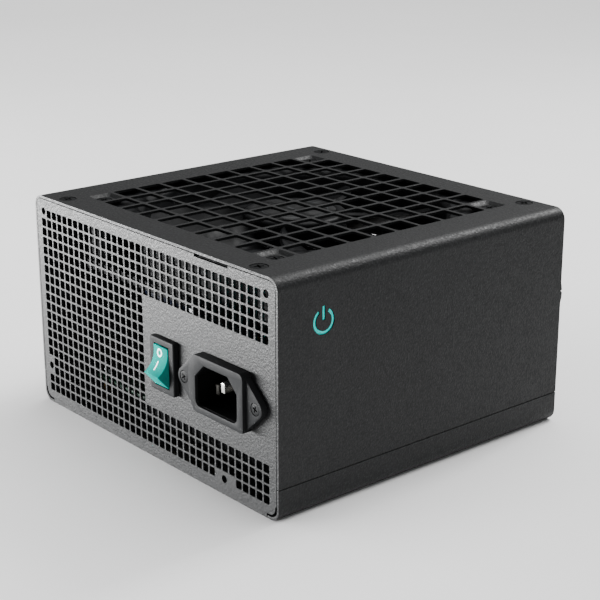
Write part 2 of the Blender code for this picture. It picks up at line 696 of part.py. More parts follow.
def mains_inlet(materials):
    """The inlet housing, its three pins and its two screws."""
    front = FRONT_Y - INLET_BLOCK_PROUD
    ear_face = FRONT_Y - INLET_EAR_PROUD
    floor = front + SOCKET_DEPTH
    back = floor + SOCKET_FLOOR
    housing = prism(flange_outline(), "Y", ear_face, FRONT_Y - GAP)
    housing = join(housing, prism(block_outline(), "Y", front, FRONT_Y - GAP),
                   prism(socket_outline(SOCKET_WALL), "Y", FRONT_Y - SHEET, back))
    housing = cut(housing, prism(socket_outline(), "Y", front - SHEET, floor))
    slots = []
    for name, x, z, recess in pin_places():
        across, up = PIN[0] / 2, PIN[1] / 2
        wide, tall = across + GAP / 2, up + GAP / 2
        slots.append(box((x - wide, floor - SHEET, z - tall), (x + wide, back + SHEET, z + tall)))
        tip = front + recess
        pin = box((x - across, tip, z - up), (x + across, back + PIN_TAIL, z + up))
        made = new_object(name, pin, materials["nickel"])
        soften = made.modifiers.new("tip", "BEVEL")
        soften.width = PIN_TIP_BEVEL
        soften.segments = 1
    seats = []
    for x in inlet_screw_xs():
        seat = screw_seat(INLET_SCREW_HEAD_RADIUS, INLET_SCREW_SHANK)
        seats.append(place(seat, x, ear_face, INLET_Z, 90))
    housing = cut(housing, together(slots), together(seats))
    new_object("inlet_housing", housing, materials["black_plastic"])
    for number, x in enumerate(inlet_screw_xs(), 1):
        screw = countersunk_screw(INLET_SCREW_LENGTH, INLET_SCREW_HEAD_RADIUS, INLET_SCREW_SHANK)
        screw = place(screw, x, ear_face, INLET_Z, 90)
        new_object(f"inlet_screw_{number}", screw, materials["black_steel"])


def rocker_pivot():
    return Vector((SWITCH_X, FRONT_Y + ROCKER_PIVOT_DEPTH, SWITCH_Z))


def blade_pivot():
    reach = PLUNGER_REACH + BLADE_CLEARANCE + CONTACT_BLADE[1] / 2
    return rocker_pivot() + Vector((0, reach, 0))


def rocker_outline():
    """The level rocker's side view as (y, z) about its pivot: hollowed front, flat ends and a round back."""
    ridge = math.radians(ROCKER_RIDGE_ANGLE)
    ridge_z, ridge_y = ROCKER_RADIUS * math.sin(ridge), ROCKER_RADIUS * math.cos(ridge)
    steps = 8
    front = []
    for step in range(steps + 1):
        share = 2 * step / steps - 1
        front.append((-(ridge_y - ROCKER_VALLEY * (1 - share * share)), ridge_z * share))
    shoulder = []
    for angle in (math.radians(ROCKER_FOOT_ANGLE), math.radians(ROCKER_TAIL_ANGLE)):
        shoulder.append((-ROCKER_RADIUS * math.cos(angle), ROCKER_RADIUS * math.sin(angle)))
    back = ROCKER_RADIUS * ROCKER_BACK_SHARE
    return front + shoulder + [(back, back), (back, -back)] + [(y, -z) for y, z in reversed(shoulder)]


def rocker_switch(materials):
    """The switch: housing with its bezel, rocker, plunger, contact blade and terminals."""
    pivot = rocker_pivot()
    blade_at = blade_pivot()
    body_back = FRONT_Y + SWITCH_BODY_DEPTH
    bezel = prism(rounded_rectangle((SWITCH_X, SWITCH_Z), BEZEL_WIDTH, BEZEL_HEIGHT, BEZEL_ROUND), "Y",
                  FRONT_Y - BEZEL_PROUD, FRONT_Y - GAP)
    across, up = SWITCH_BODY_WIDTH / 2, SWITCH_BODY_HEIGHT / 2
    left, right, low, high = SWITCH_X - across, SWITCH_X + across, SWITCH_Z - up, SWITCH_Z + up
    body = box((left, FRONT_Y - SHEET, low), (right, body_back, high))
    housing = join(bezel, body)
    window = ROCKER_WIDTH / 2 + ROCKER_CLEARANCE
    sweep = circle((pivot.y, pivot.z), ROCKER_RADIUS + ROCKER_CLEARANCE, 32)
    inner = CONTACT_BLADE[2] / 2 + SWITCH_BLADE_ROOM
    room = box((SWITCH_X - window, pivot.y, SWITCH_Z - inner),
               (SWITCH_X + window, body_back - SWITCH_BACK_WALL, SWITCH_Z + inner))
    stub = ROCKER_WIDTH / 2 + AXLE_STUB_LENGTH + ROCKER_CLEARANCE
    axle_room = circle((pivot.y, pivot.z), AXLE_STUB_RADIUS + AXLE_HOLE_CLEARANCE, 16)
    axle_hole = prism(axle_room, "X", SWITCH_X - stub, SWITCH_X + stub)
    housing = cut(housing, prism(sweep, "X", SWITCH_X - window, SWITCH_X + window), room, axle_hole)

    rocker = prism(rocker_outline(), "X", -ROCKER_WIDTH / 2, ROCKER_WIDTH / 2)
    reach = ROCKER_WIDTH / 2 + AXLE_STUB_LENGTH
    rocker = join(rocker, prism(circle((0, 0), AXLE_STUB_RADIUS, 12), "X", -reach, reach))
    well = PLUNGER_RADIUS + GAP
    stem_from = ROCKER_RADIUS * ROCKER_WELL_SHARE
    rocker = cut(rocker, prism(circle((0, 0), well, 12), "Y", stem_from, ROCKER_RADIUS))
    made = new_object("switch_rocker", place(rocker, 0, 0, 0, -ROCKER_TILT), materials["teal_plastic"])
    made.location = pivot

    plunger = prism(circle((0, 0), PLUNGER_RADIUS, 10), "Y", stem_from + GAP, PLUNGER_REACH)
    made = new_object("switch_plunger", place(plunger, 0, 0, 0, -ROCKER_TILT), materials["nickel"])
    made.location = pivot

    width, thickness, height = CONTACT_BLADE
    blade = box((-width / 2, -thickness / 2, -height / 2), (width / 2, thickness / 2, height / 2))
    made = new_object("switch_contact_blade", place(blade, 0, 0, 0, CONTACT_TILT), materials["copper"])
    made.location = blade_at

    swing = height / 2 * math.sin(math.radians(CONTACT_TILT)) + thickness / 2 + GAP
    end = body_back + TERMINAL_REACH
    slots = []
    centre_one = (0.0, blade_at.y + thickness / 2 + GAP)
    outer_one = (height / 2 - TERMINAL_FROM_BLADE_END, blade_at.y + swing)
    half, thin = TERMINAL[0] / 2, TERMINAL[1] / 2
    wide, tall = half + GAP, thin + GAP
    for number, (offset, start) in enumerate((centre_one, outer_one), 1):
        z = SWITCH_Z + offset
        spade = box((SWITCH_X - half, start, z - thin), (SWITCH_X + half, end, z + thin))
        new_object(f"switch_terminal_{number}", spade, materials["nickel"])
        slots.append(box((SWITCH_X - wide, start - SHEET, z - tall), (SWITCH_X + wide, end, z + tall)))
    new_object("switch_housing", cut(housing, together(slots)), materials["black_plastic"])


def fan_frame(material):
    """The fan's square frame, its duct, its struts and the motor base with the bearing tube."""
    low, high = FAN_BOTTOM_Z, FAN_TOP_Z
    square = rounded_rectangle((0, 0), FAN_SIDE, FAN_SIDE, FAN_CORNER_RADIUS)
    bore = circle((0, 0), FAN_DUCT_RADIUS, 40)
    tube = circle((0, 0), FAN_DUCT_RADIUS + FAN_DUCT_WALL, 40)
    frame = join(prism(square, "Z", low, low + FAN_FLANGE), prism(square, "Z", high - FAN_FLANGE, high),
                 prism(tube, "Z", low + SHEET, high - SHEET))
    for x, y in fan_screw_places():
        frame = join(frame, prism(circle((x, y), FAN_LUG_RADIUS, 12), "Z", low + SHEET, high - SHEET))
    frame = cut(frame, prism(bore, "Z", low - SHEET, high + SHEET))
    for side in (0, 90):
        long, wide = FAN_DUCT_RADIUS + FAN_DUCT_WALL / 2, STRUT_WIDTH / 2
        strut = box((-long, -wide, low), (long, wide, low + MOTOR_BASE_THICKNESS))
        frame = join(frame, turn_mesh(strut, side + 45, "Z", (0, 0, 0)))
    base = prism(circle((0, 0), MOTOR_BASE_RADIUS, 32), "Z", low, low + MOTOR_BASE_THICKNESS + GAP)
    post = prism(circle((0, 0), BEARING_TUBE_RADIUS, 16), "Z", low + SHEET, HUB_TOP_Z - TUBE_BELOW_HUB)
    frame = join(frame, base, post)
    bearing_room = SHAFT_RADIUS + GAP + BEARING_WALL + GAP
    well = prism(circle((0, 0), bearing_room, 16), "Z", low + SHEET, high)
    hole = FAN_SCREW_SHANK + SCREW_CLEARANCE
    bottom = high - FAN_HEIGHT * FAN_HOLE_SHARE
    holes = [prism(circle(at, hole, 12), "Z", bottom, high + SHEET) for at in fan_screw_places()]
    return new_object("fan_frame", cut(frame, well, together(holes)), material)


def fan_blade(number):
    """One swept, twisted blade that starts inside the hub's wall."""
    shape = bmesh.new()
    spans, chords = 4, 3
    root = HUB_RADIUS - HUB_WALL / 2
    rows = []
    for span in range(spans + 1):
        share = span / spans
        radius = root + (BLADE_TIP_RADIUS - root) * share
        lead = math.radians(BLADE_SWEEP * share ** 1.3)
        width = math.radians(BLADE_WRAP - BLADE_WRAP_LOSS * share)
        drop = BLADE_DROP * (1 - BLADE_DROP_LOSS * share)
        row = []
        for chord in range(chords + 1):
            along = chord / chords
            angle = lead + width * along
            z = HUB_TOP_Z - BLADE_BELOW_HUB - BLADE_TIP_FALL * share - drop * along ** 0.82
            row.append((radius * math.cos(angle), radius * math.sin(angle), z))
        rows.append(row)
    top = [[shape.verts.new(point) for point in row] for row in rows]
    low = [[shape.verts.new((x, y, z - BLADE_THICKNESS)) for x, y, z in row] for row in rows]
    for span in range(spans):
        for chord in range(chords):
            for skin in (top, low):
                near, far = skin[span], skin[span + 1]
                shape.faces.new((near[chord], far[chord], far[chord + 1], near[chord + 1]))
        for edge in (0, chords):
            shape.faces.new((top[span][edge], top[span + 1][edge], low[span + 1][edge], low[span][edge]))
    for chord in range(chords):
        for edge in (0, spans):
            shape.faces.new((top[edge][chord], top[edge][chord + 1], low[edge][chord + 1], low[edge][chord]))
    blade = mesh_from(shape)
    return turn_mesh(blade, 360 / BLADES * number, "Z", (0, 0, 0))


def fan_rotor(materials):
    """The turning part of the fan: hub with its blades, shaft, magnet ring and label."""
    bottom = HUB_TOP_Z - HUB_HEIGHT
    well, roof = HUB_RADIUS - HUB_WALL, HUB_TOP_Z - HUB_WALL
    profile = [(0, HUB_TOP_Z), (HUB_RADIUS - HUB_EDGE, HUB_TOP_Z), (HUB_RADIUS, HUB_TOP_Z - HUB_EDGE),
               (HUB_RADIUS, bottom), (well, bottom), (well, roof), (0, roof)]
    hub = turned(profile, (0, 0, 0), 32)
    for number in range(BLADES):
        hub = join(hub, fan_blade(number))
    new_object("fan_impeller", hub, materials["fan_plastic"])

    inside = roof - GAP
    shaft = prism(circle((0, 0), SHAFT_RADIUS, 12), "Z", FAN_BOTTOM_Z + SHAFT_ABOVE_BASE, inside)
    new_object("fan_shaft", shaft, materials["steel"])
    outer = well - GAP
    low, high = bottom + MAGNET_LOW_INSET, inside - MAGNET_TOP_INSET
    ring = turned([(outer - MAGNET_WALL, low), (outer, low), (outer, high), (outer - MAGNET_WALL, high)],
                  (0, 0, 0), 32)
    new_object("fan_magnet_ring", ring, materials["ferrite"])
    disc = circle((0, 0), HUB_RADIUS - HUB_LABEL_INSET, 32)
    sticker = prism(disc, "Z", HUB_TOP_Z + GAP / 2, HUB_TOP_Z + GAP)
    new_object("fan_hub_label", sticker, materials["label"])


def fan_motor(materials):
    """The still part of the motor: sleeve bearing and wound stator."""
    inner, outer = SHAFT_RADIUS + GAP, SHAFT_RADIUS + GAP + BEARING_WALL
    foot, high = FAN_BOTTOM_Z + SHAFT_ABOVE_BASE, HUB_TOP_Z - BEARING_BELOW_HUB
    sleeve = turned([(inner, foot), (outer, foot), (outer, high), (inner, high)], (0, 0, 0), 16)
    new_object("fan_bearing", sleeve, materials["bronze"])
    low = FAN_BOTTOM_Z + MOTOR_BASE_THICKNESS + STATOR_ABOVE_BASE
    core = prism(circle((0, 0), BEARING_TUBE_RADIUS + STATOR_HUB_WALL, 16), "Z", low, high)
    wide, bottom, top = STATOR_ARM_WIDTH / 2, low + STATOR_ARM_INSET, high - STATOR_ARM_INSET
    for arm in range(STATOR_ARMS // 2):
        tooth = box((-STATOR_RADIUS, -wide, bottom), (STATOR_RADIUS, wide, top))
        core = join(core, turn_mesh(tooth, 90 * arm, "Z", (0, 0, 0)))
    core = cut(core, prism(circle((0, 0), BEARING_TUBE_RADIUS + GAP, 16), "Z", low - SHEET, high + SHEET))
    new_object("fan_stator", core, materials["copper"])


def housing_screws(materials):
    """The flat screws of the cover and the fan."""
    for number, (x, y) in enumerate(cover_screw_places(), 1):
        screw = countersunk_screw(COVER_SCREW_LENGTH, COVER_SCREW_HEAD_RADIUS, COVER_SCREW_SHANK)
        screw = place(screw, x, y, BODY_HEIGHT - COVER_SCREW_SINK)
        new_object(f"cover_screw_{number}", screw, materials["black_steel"])
    seat = BODY_HEIGHT - POCKET_DEPTH
    for number, (x, y) in enumerate(fan_screw_places(), 1):
        screw = countersunk_screw(FAN_SCREW_LENGTH, FAN_SCREW_HEAD_RADIUS, FAN_SCREW_SHANK)
        new_object(f"fan_screw_{number}", place(screw, x, y, seat), materials["black_steel"])


def badge_and_label(materials):
    """The coloured plate behind the cut-out mark and the blank rating label on the other side."""
    wide, tall, thick = MARK_PLATE
    inner = BODY_WIDTH / 2 - SHEET - GAP
    plate = box((inner - thick, MARK_Y - wide / 2, MARK_Z - tall / 2),
                (inner, MARK_Y + wide / 2, MARK_Z + tall / 2))
    new_object("badge_plate", plate, materials["teal_plastic"])
    long, high, film = LABEL
    wall = -BODY_WIDTH / 2 - GAP / 2
    middle = (LIP_HEIGHT + BODY_HEIGHT - CORNER_RADIUS) / 2
    sticker = box((wall - film, -long / 2, middle - high / 2), (wall, long / 2, middle + high / 2))
    new_object("rating_label", sticker, materials["label"])


def board_box(name, x, y, width, depth, height, material):
    """An upright block that stands on the power board."""
    low = BOARD_TOP_Z + GAP
    block = box((x - width / 2, y - depth / 2, low), (x + width / 2, y + depth / 2, low + height))
    return new_object(name, block, material)


def board_can(name, x, y, radius, height, material):
    """An upright can on the power board with a rolled edge near its foot."""
    low = BOARD_TOP_Z + GAP
    foot = radius * CAN_FOOT_SHARE
    profile = [(0, 0), (foot, 0), (radius, CAN_FOOT_HEIGHT), (radius, height), (0, height)]
    return new_object(name, turned(profile, (x, y, low), 16), material)


def board_ring(name, x, y, radius, width, height, material):
    """A wound ring core that stands on the power board, its axis upright."""
    low = BOARD_TOP_Z + GAP
    soft = width * RING_SOFT_SHARE
    profile = [(radius - width, 0), (radius - soft, 0), (radius, soft), (radius, height - soft),
               (radius - soft, height), (radius - width, height)]
    return new_object(name, turned(profile, (x, y, low), 16), material)


def heatsink(name, x, y, length, height, material):
    """An upright plate with short fins towards +X."""
    low = BOARD_TOP_Z + GAP
    half = SINK_THICKNESS / 2
    sink = box((x - half, y - length / 2, low), (x + half, y + length / 2, low + height))
    reach = length / 2 - SINK_FIN_INSET
    thin = SINK_FIN_THICKNESS / 2
    for fin in range(SINK_FINS):
        z = low + height - SINK_THICKNESS - fin * SINK_FIN_PITCH
        sink = join(sink, box((x, y - reach, z - thin), (x + SINK_FIN_REACH, y + reach, z + thin)))
    return new_object(name, sink, material)


def transformer(x, y, materials):
    """The main transformer: ferrite frame and the winding that fills its windows."""
    low = BOARD_TOP_Z + GAP
    width, depth, height = TRANSFORMER
    reach = width / 2 - TRANSFORMER_FRAME
    floor, roof = low + TRANSFORMER_FRAME, low + height - TRANSFORMER_FRAME
    frame = box((x - width / 2, y - depth / 2, low), (x + width / 2, y + depth / 2, low + height))
    window = box((x - reach, y - depth, floor), (x + reach, y + depth, roof))
    new_object("transformer_core", cut(frame, window), materials["ferrite"])
    outline = rounded_rectangle((x, y), 2 * (reach - GAP), WINDING_DEPTH, WINDING_ROUND)
    new_object("transformer_winding", prism(outline, "Z", floor + GAP, roof - GAP), materials["yellow_film"])


def power_board(materials):
    """The circuit board on its standoffs and the large components on it."""
    width, depth, thick = BOARD
    reach_x, reach_y = width / 2 - STANDOFF_INSET, depth / 2 - STANDOFF_INSET
    corners = [(x, BOARD_Y + y) for x in (-reach_x, reach_x) for y in (-reach_y, reach_y)]
    board = box((-width / 2, BOARD_Y - depth / 2, BOARD_Z), (width / 2, BOARD_Y + depth / 2, BOARD_TOP_Z))
    low, high = BOARD_Z - SHEET, BOARD_TOP_Z + SHEET
    holes = [prism(circle(at, BOARD_HOLE_RADIUS, 12), "Z", low, high) for at in corners]
    new_object("power_board", cut(board, together(holes)), materials["board"])
    head, head_height = BOARD_SCREW_HEAD
    shank, shank_length = BOARD_SCREW_SHANK
    screw = [(0, head_height), (head, BOARD_SCREW_EDGE), (head, 0), (shank, 0), (shank, -shank_length),
             (0, -shank_length)]
    for number, (x, y) in enumerate(corners, 1):
        post = prism(circle((x, y), STANDOFF_RADIUS, 6), "Z", SHEET + GAP, BOARD_Z - GAP)
        post = cut(post, prism(circle((x, y), STANDOFF_BORE, 10), "Z", SHEET + STANDOFF_FLOOR, BOARD_Z))
        new_object(f"board_standoff_{number}", post, materials["bronze"])
        new_object(f"board_screw_{number}", turned(screw, (x, y, BOARD_TOP_Z + GAP), 8), materials["steel"])
    sheet_reach = width / 2 - 2 * STANDOFF_INSET
    film = box((-sheet_reach, BOARD_Y - depth / 2, SHEET + GAP),
               (sheet_reach, BOARD_Y + depth / 2, SHEET + GAP + INSULATION))
    new_object("insulation_sheet", film, materials["black_plastic"])

    board_can("bulk_capacitor", -0.046, -0.022, 0.0150, 0.044, materials["sleeve"])
    heatsink("primary_heatsink", -0.020, 0.006, 0.084, 0.040, materials["aluminium"])
    heatsink("secondary_heatsink", 0.034, 0.012, 0.066, 0.040, materials["aluminium"])
    transformer(0.010, 0.012, materials)
    board_box("standby_transformer", 0.008, 0.044, 0.018, 0.016, 0.018, materials["yellow_film"])
    board_ring("pfc_choke", -0.046, 0.022, 0.0160, 0.0095, 0.016, materials["copper"])
    board_ring("output_choke", 0.053, -0.012, 0.0110, 0.0065, 0.018, materials["copper"])
    board_ring("mains_filter_choke", 0.022, -0.036, 0.0105, 0.0060, 0.014, materials["copper"])
    board_box("mains_filter_capacitor", 0.000, -0.042, 0.010, 0.018, 0.016, materials["yellow_film"])
    board_box("bridge_rectifier", -0.0245, -0.012, 0.0040, 0.024, 0.018, materials["black_plastic"])
    radius, height = OUTPUT_CAN
    for number in range(OUTPUT_CANS):
        y = 0.008 + number * OUTPUT_CAN_PITCH
        board_can(f"output_capacitor_{number + 1}", 0.055, y, radius, height, materials["sleeve"])


def main():
    clear_scene()
    materials = make_materials()
    top_cover(materials["coated_steel"])
    bottom_tray(materials["coated_steel"])
    ac_panel(materials["coated_steel"])
    rear_panel(materials["coated_steel"])
    cable_bushing(materials["black_plastic"])
    mains_inlet(materials)
    rocker_switch(materials)
    fan_frame(materials["fan_plastic"])
    fan_rotor(materials)
    fan_motor(materials)
    housing_screws(materials)
    badge_and_label(materials)
    power_board(materials)


main()
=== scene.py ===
"""Looks of a desktop computer power supply unit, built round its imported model.

Metres, +Z up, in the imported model's own frame: the mains side faces -Y and the intake grille +Z. Each
sub-assembly is a class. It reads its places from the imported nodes, builds its pieces and dresses them.
"""

from __future__ import annotations

import json
import logging
import math
from dataclasses import dataclass, replace
from enum import Enum
from typing import Callable, Iterable, Sequence

import bmesh
import bpy
from mathutils import Matrix, Vector


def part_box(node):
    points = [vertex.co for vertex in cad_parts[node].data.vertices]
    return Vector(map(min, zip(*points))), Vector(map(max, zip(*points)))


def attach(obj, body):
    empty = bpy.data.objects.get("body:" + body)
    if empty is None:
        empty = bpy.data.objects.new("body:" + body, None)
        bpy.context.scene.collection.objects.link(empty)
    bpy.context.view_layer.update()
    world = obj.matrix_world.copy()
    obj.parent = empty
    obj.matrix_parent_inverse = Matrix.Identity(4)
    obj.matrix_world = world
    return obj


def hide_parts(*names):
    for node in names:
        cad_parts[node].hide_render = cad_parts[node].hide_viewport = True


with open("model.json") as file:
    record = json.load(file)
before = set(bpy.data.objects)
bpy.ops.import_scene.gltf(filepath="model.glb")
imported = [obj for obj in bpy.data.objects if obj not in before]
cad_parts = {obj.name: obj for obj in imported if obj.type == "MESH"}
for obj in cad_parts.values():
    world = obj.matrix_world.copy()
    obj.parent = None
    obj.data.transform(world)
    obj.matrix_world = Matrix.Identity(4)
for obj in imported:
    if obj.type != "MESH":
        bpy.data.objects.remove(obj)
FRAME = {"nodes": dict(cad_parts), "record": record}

LOG = logging.getLogger("power_supply")
MM = 0.001
TINY = 1e-6
SLIVER_AREA = 1e-13
SHEET = 1.0 * MM

Point2 = tuple[float, float]
Point3 = tuple[float, float, float]
Tree = bpy.types.NodeTree
Socket = bpy.types.NodeSocket
Mesh = bmesh.types.BMesh
Edge = bmesh.types.BMEdge
Vert = bmesh.types.BMVert
Face = bmesh.types.BMFace


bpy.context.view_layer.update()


class Axis(Enum):
    """The way an outline is pulled or a profile's own axis points, as the turn that brings +Z there."""

    X = Matrix(((0, 0, 1), (1, 0, 0), (0, 1, 0))).to_4x4()
    Y = Matrix(((1, 0, 0), (0, 0, 1), (0, 1, 0))).to_4x4()
    Z = Matrix.Identity(4)


class Body(Enum):
    """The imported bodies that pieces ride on."""

    HOUSING = "housing"
    ROTOR = "fan_rotor"
    ROCKER = "rocker"
    BLADE = "contact_blade"


# ---------------------------------------------------------------------------------------------
# Finishes
# ---------------------------------------------------------------------------------------------


def linear(hex_code: str) -> tuple[float, float, float, float]:
    """Turns an sRGB colour such as "2b2d2e" into linear light.

    Args:
        hex_code: six hexadecimal digits.

    Returns:
        Red, green, blue and an alpha of 1.
    """
    channels = [int(hex_code[i : i + 2], 16) / 255 for i in (0, 2, 4)]
    light = [c / 12.92 if c <= 0.04045 else ((c + 0.055) / 1.055) ** 2.4 for c in channels]
    return (light[0], light[1], light[2], 1.0)


def add_node(
    tree: Tree,
    kind: str,
    feeds: dict | None = None,
    values: dict | None = None,
    **settings: object,
) -> bpy.types.Node:
    """Adds a node with its settings, socket values and incoming links.

    Args:
        tree: the material's node tree.
        kind: the node's type name.
        feeds: input socket name or number to the output socket that feeds it.
        values: input socket name or number to its constant value.
        **settings: properties of the node itself.

    Returns:
        The new node.
    """
    node = tree.nodes.new(kind)
    for key, value in settings.items():
        setattr(node, key, value)
    for socket, value in (values or {}).items():
        node.inputs[socket].default_value = value
    for socket, source in (feeds or {}).items():
        tree.links.new(source, node.inputs[socket])
    return node


def calculate(tree: Tree, operation: str, *terms: Socket | float) -> Socket:
    """Returns the result of a math node on sockets and numbers."""
    feeds = {place: term for place, term in enumerate(terms) if isinstance(term, Socket)}
    values = {place: term for place, term in enumerate(terms) if not isinstance(term, Socket)}
    return add_node(tree, "ShaderNodeMath", feeds, values, operation=operation).outputs[0]


def scaled(tree: Tree, place: Socket, factors: Sequence[float]) -> Socket:
    """Returns a place with each of its coordinates multiplied by a factor."""
    return add_node(tree, "ShaderNodeVectorMath", {0: place}, {1: factors}, operation="MULTIPLY").outputs[0]


def spread(tree: Tree, value: Socket, low: float, high: float, start: float = 0.3,
           end: float = 0.7) -> Socket:
    """Maps the values between start and end, by default a noise's, to the range from low to high."""
    ends = {"From Min": start, "From Max": end, "To Min": low, "To Max": high}
    return add_node(tree, "ShaderNodeMapRange", {"Value": value}, ends).outputs["Result"]


def blend(tree: Tree, factor: Socket, base: Socket, hex_code: str) -> Socket:
    """Returns a base colour that goes over into another with a factor."""
    return add_node(tree, "ShaderNodeMix", {"Factor": factor, 6: base}, {7: linear(hex_code)},
                    data_type="RGBA").outputs[2]


@dataclass(frozen=True)
class Finish:
    """A surface: its material's common name, colours and the grain that its making left.

    The colour drifts between `color` and `second` over patches of `patch_mm`. The grain is a relief of
    `grain_height_mm` with bumps of `grain_mm`.
    """

    name: str
    slot: str
    color: str
    second: str
    roughness: float
    metallic: float = 0.0
    ior: float = 1.5
    patch_mm: float = 12.0
    grain_mm: float = 0.5
    grain_height_mm: float = 0.01
    roughness_drift: float = 0.05
    gloss: float = 0.5

    def material(self) -> bpy.types.Material:
        """Returns this finish's material, made on its first use."""
        made = bpy.data.materials.get(self.name)
        if made is None:
            made = bpy.data.materials.new(self.name)
            made.use_nodes = True
            self.dress(made.node_tree)
        return made

    def dress(self, tree: Tree) -> None:
        """Sets the shader's constants and links its colour, roughness and relief."""
        shader = tree.nodes["Principled BSDF"]
        shader.inputs["Metallic"].default_value = self.metallic
        if self.metallic == 0.0:
            shader.inputs["IOR"].default_value = self.ior
        shader.inputs["Specular IOR Level"].default_value = self.gloss
        place = add_node(tree, "ShaderNodeTexCoord").outputs["Object"]
        tree.links.new(self.color_output(tree, place), shader.inputs["Base Color"])
        tree.links.new(self.roughness_output(tree, place), shader.inputs["Roughness"])
        tree.links.new(self.relief_output(tree, place), shader.inputs["Normal"])

    def noise(self, tree: Tree, place: Socket, size_mm: float,
              detail: float = 2.0) -> Socket:
        """Returns the factor of a noise whose features are about this size."""
        scale = 1.0 / (size_mm * MM)
        values = {"Scale": scale, "Detail": detail}
        return add_node(tree, "ShaderNodeTexNoise", {"Vector": place}, values).outputs[0]

    def color_output(self, tree: Tree, place: Socket) -> Socket:
        """Returns the socket with the surface's colour."""
        drift = self.noise(tree, place, self.patch_mm, 4.0)
        ramp = add_node(tree, "ShaderNodeValToRGB", {"Fac": drift})
        for stop, position, color in zip(ramp.color_ramp.elements, (0.35, 0.65), (self.color, self.second)):
            stop.position = position
            stop.color = linear(color)
        return ramp.outputs["Color"]

    def roughness_output(self, tree: Tree, place: Socket) -> Socket:
        """Returns the socket with the surface's roughness."""
        drift = self.noise(tree, place, self.patch_mm * 0.4, 3.0)
        middle, change = self.roughness, self.roughness_drift
        return spread(tree, drift, middle - change, middle + change)

    def relief_output(self, tree: Tree, place: Socket) -> Socket:
        """Returns the socket with the surface's bent normal."""
        return self.bump(tree, self.noise(tree, place, self.grain_mm, 2.0), self.grain_height_mm)

    def bump(self, tree: Tree, height: Socket, height_mm: float) -> Socket:
        """Returns the normal of a relief this high."""
        values = {"Strength": 1.0, "Distance": height_mm * MM}
        return add_node(tree, "ShaderNodeBump", {"Height": height}, values).outputs[0]


@dataclass(frozen=True)
class PowderCoat(Finish):
    """Charcoal texture powder coat, baked on steel sheet: fine orange-peel beads, with a painted highlight on
    their tips.

    The real beads are about 0.3 mm. They are drawn at `grain_mm`, so that they show at arm's length.
    """

    # Colour of the painted highlight on the beads' tips.
    tip_highlight: str = "2c2e30"

    def color_output(self, tree: Tree, place: Socket) -> Socket:
        """Returns the coat's colour, with a painted highlight on the tips of its beads."""
        base = super().color_output(tree, place)
        # Painted highlight: the colour goes lighter on the tips of the beads, standing in for the light that
        # they catch.
        beads = self.noise(tree, place, self.grain_mm, 3.0)
        return blend(tree, spread(tree, beads, 0.0, 0.55, 0.5, 0.78), base, self.tip_highlight)

    def roughness_output(self, tree: Tree, place: Socket) -> Socket:
        """Returns the coat's roughness, which varies from bead to bead."""
        beads = self.noise(tree, place, self.grain_mm * 1.4, 2.0)
        middle, change = self.roughness, self.roughness_drift
        return spread(tree, beads, middle + change, middle - change)


@dataclass(frozen=True)
class Brushed(Finish):
    """Metal with fine lines along one direction, left by drawing or brushing."""

    stretch: Point3 = (1.0, 1.0, 12.0)

    def relief_output(self, tree: Tree, place: Socket) -> Socket:
        """Returns the relief of the drawn lines."""
        shares = tuple(1.0 / s for s in self.stretch)
        mapped = add_node(tree, "ShaderNodeMapping", {"Vector": place}, {"Scale": shares}).outputs[0]
        return self.bump(tree, self.noise(tree, mapped, self.grain_mm, 3.0), self.grain_height_mm)


@dataclass(frozen=True)
class Wound(Finish):
    """Enamelled copper wire in close turns: a rounded ridge for each turn."""

    wire_mm: float = 0.9
    along: str = "Z"

    def relief_output(self, tree: Tree, place: Socket) -> Socket:
        """Returns the relief of the turns, one ridge to each wire."""
        # A wave's period is 2 pi / (20 * scale) of its input.
        scale = 2 * math.pi / (20 * self.wire_mm * MM)
        turns = add_node(tree, "ShaderNodeTexWave", {"Vector": place}, {"Scale": scale, "Distortion": 0.4},
                         bands_direction=self.along)
        return self.bump(tree, turns.outputs["Fac"], self.wire_mm * 0.35)


@dataclass(frozen=True)
class Circuit(Finish):
    """FR-4 laminate under green solder resist: raised copper tracks show as a darker, lifted pattern."""

    track_mm: float = 3.2

    def tracks(self, tree: Tree, place: Socket) -> Socket:
        """Returns 1 on the copper areas and 0 between them."""
        cells = add_node(tree, "ShaderNodeTexVoronoi", {"Vector": place}, {"Scale": 1 / (self.track_mm * MM)},
                         feature="DISTANCE_TO_EDGE", distance="EUCLIDEAN")
        return spread(tree, cells.outputs["Distance"], 0.0, 1.0, 0.06, 0.10)

    def color_output(self, tree: Tree, place: Socket) -> Socket:
        """Returns the resist's colour, lighter over copper."""
        mix = add_node(tree, "ShaderNodeMix", {"Factor": self.tracks(tree, place)},
                       {6: linear(self.color), 7: linear(self.second)}, data_type="RGBA")
        return mix.outputs[2]

    def relief_output(self, tree: Tree, place: Socket) -> Socket:
        """Returns the relief of the copper under the resist."""
        return self.bump(tree, self.tracks(tree, place), 0.04)


@dataclass(frozen=True)
class PrintedFilm(Finish):
    """Printed polyester film: a dark ground with plain bars in a lighter ink, without lettering."""

    ink: str = "8d9194"
    half: Point2 = (0.05, 0.025)
    rows: int = 9
    bar_share: float = 0.16
    width_share: float = 0.86

    def color_output(self, tree: Tree, place: Socket) -> Socket:
        """Returns the film's colour: bars of ink that stand in for the lines of a rating table."""
        base = super().color_output(tree, place)
        parts = add_node(tree, "ShaderNodeSeparateXYZ", {"Vector": place}).outputs
        across, up = parts[1], parts[2]
        rows = calculate(tree, "FRACT", calculate(tree, "DIVIDE", up, 2 * self.half[1] / self.rows))
        bar = calculate(tree, "LESS_THAN", rows, self.bar_share)
        side = calculate(tree, "ABSOLUTE", across)
        inside = calculate(tree, "LESS_THAN", side, self.half[0] * self.width_share)
        return blend(tree, calculate(tree, "MULTIPLY", bar, inside), base, self.ink)


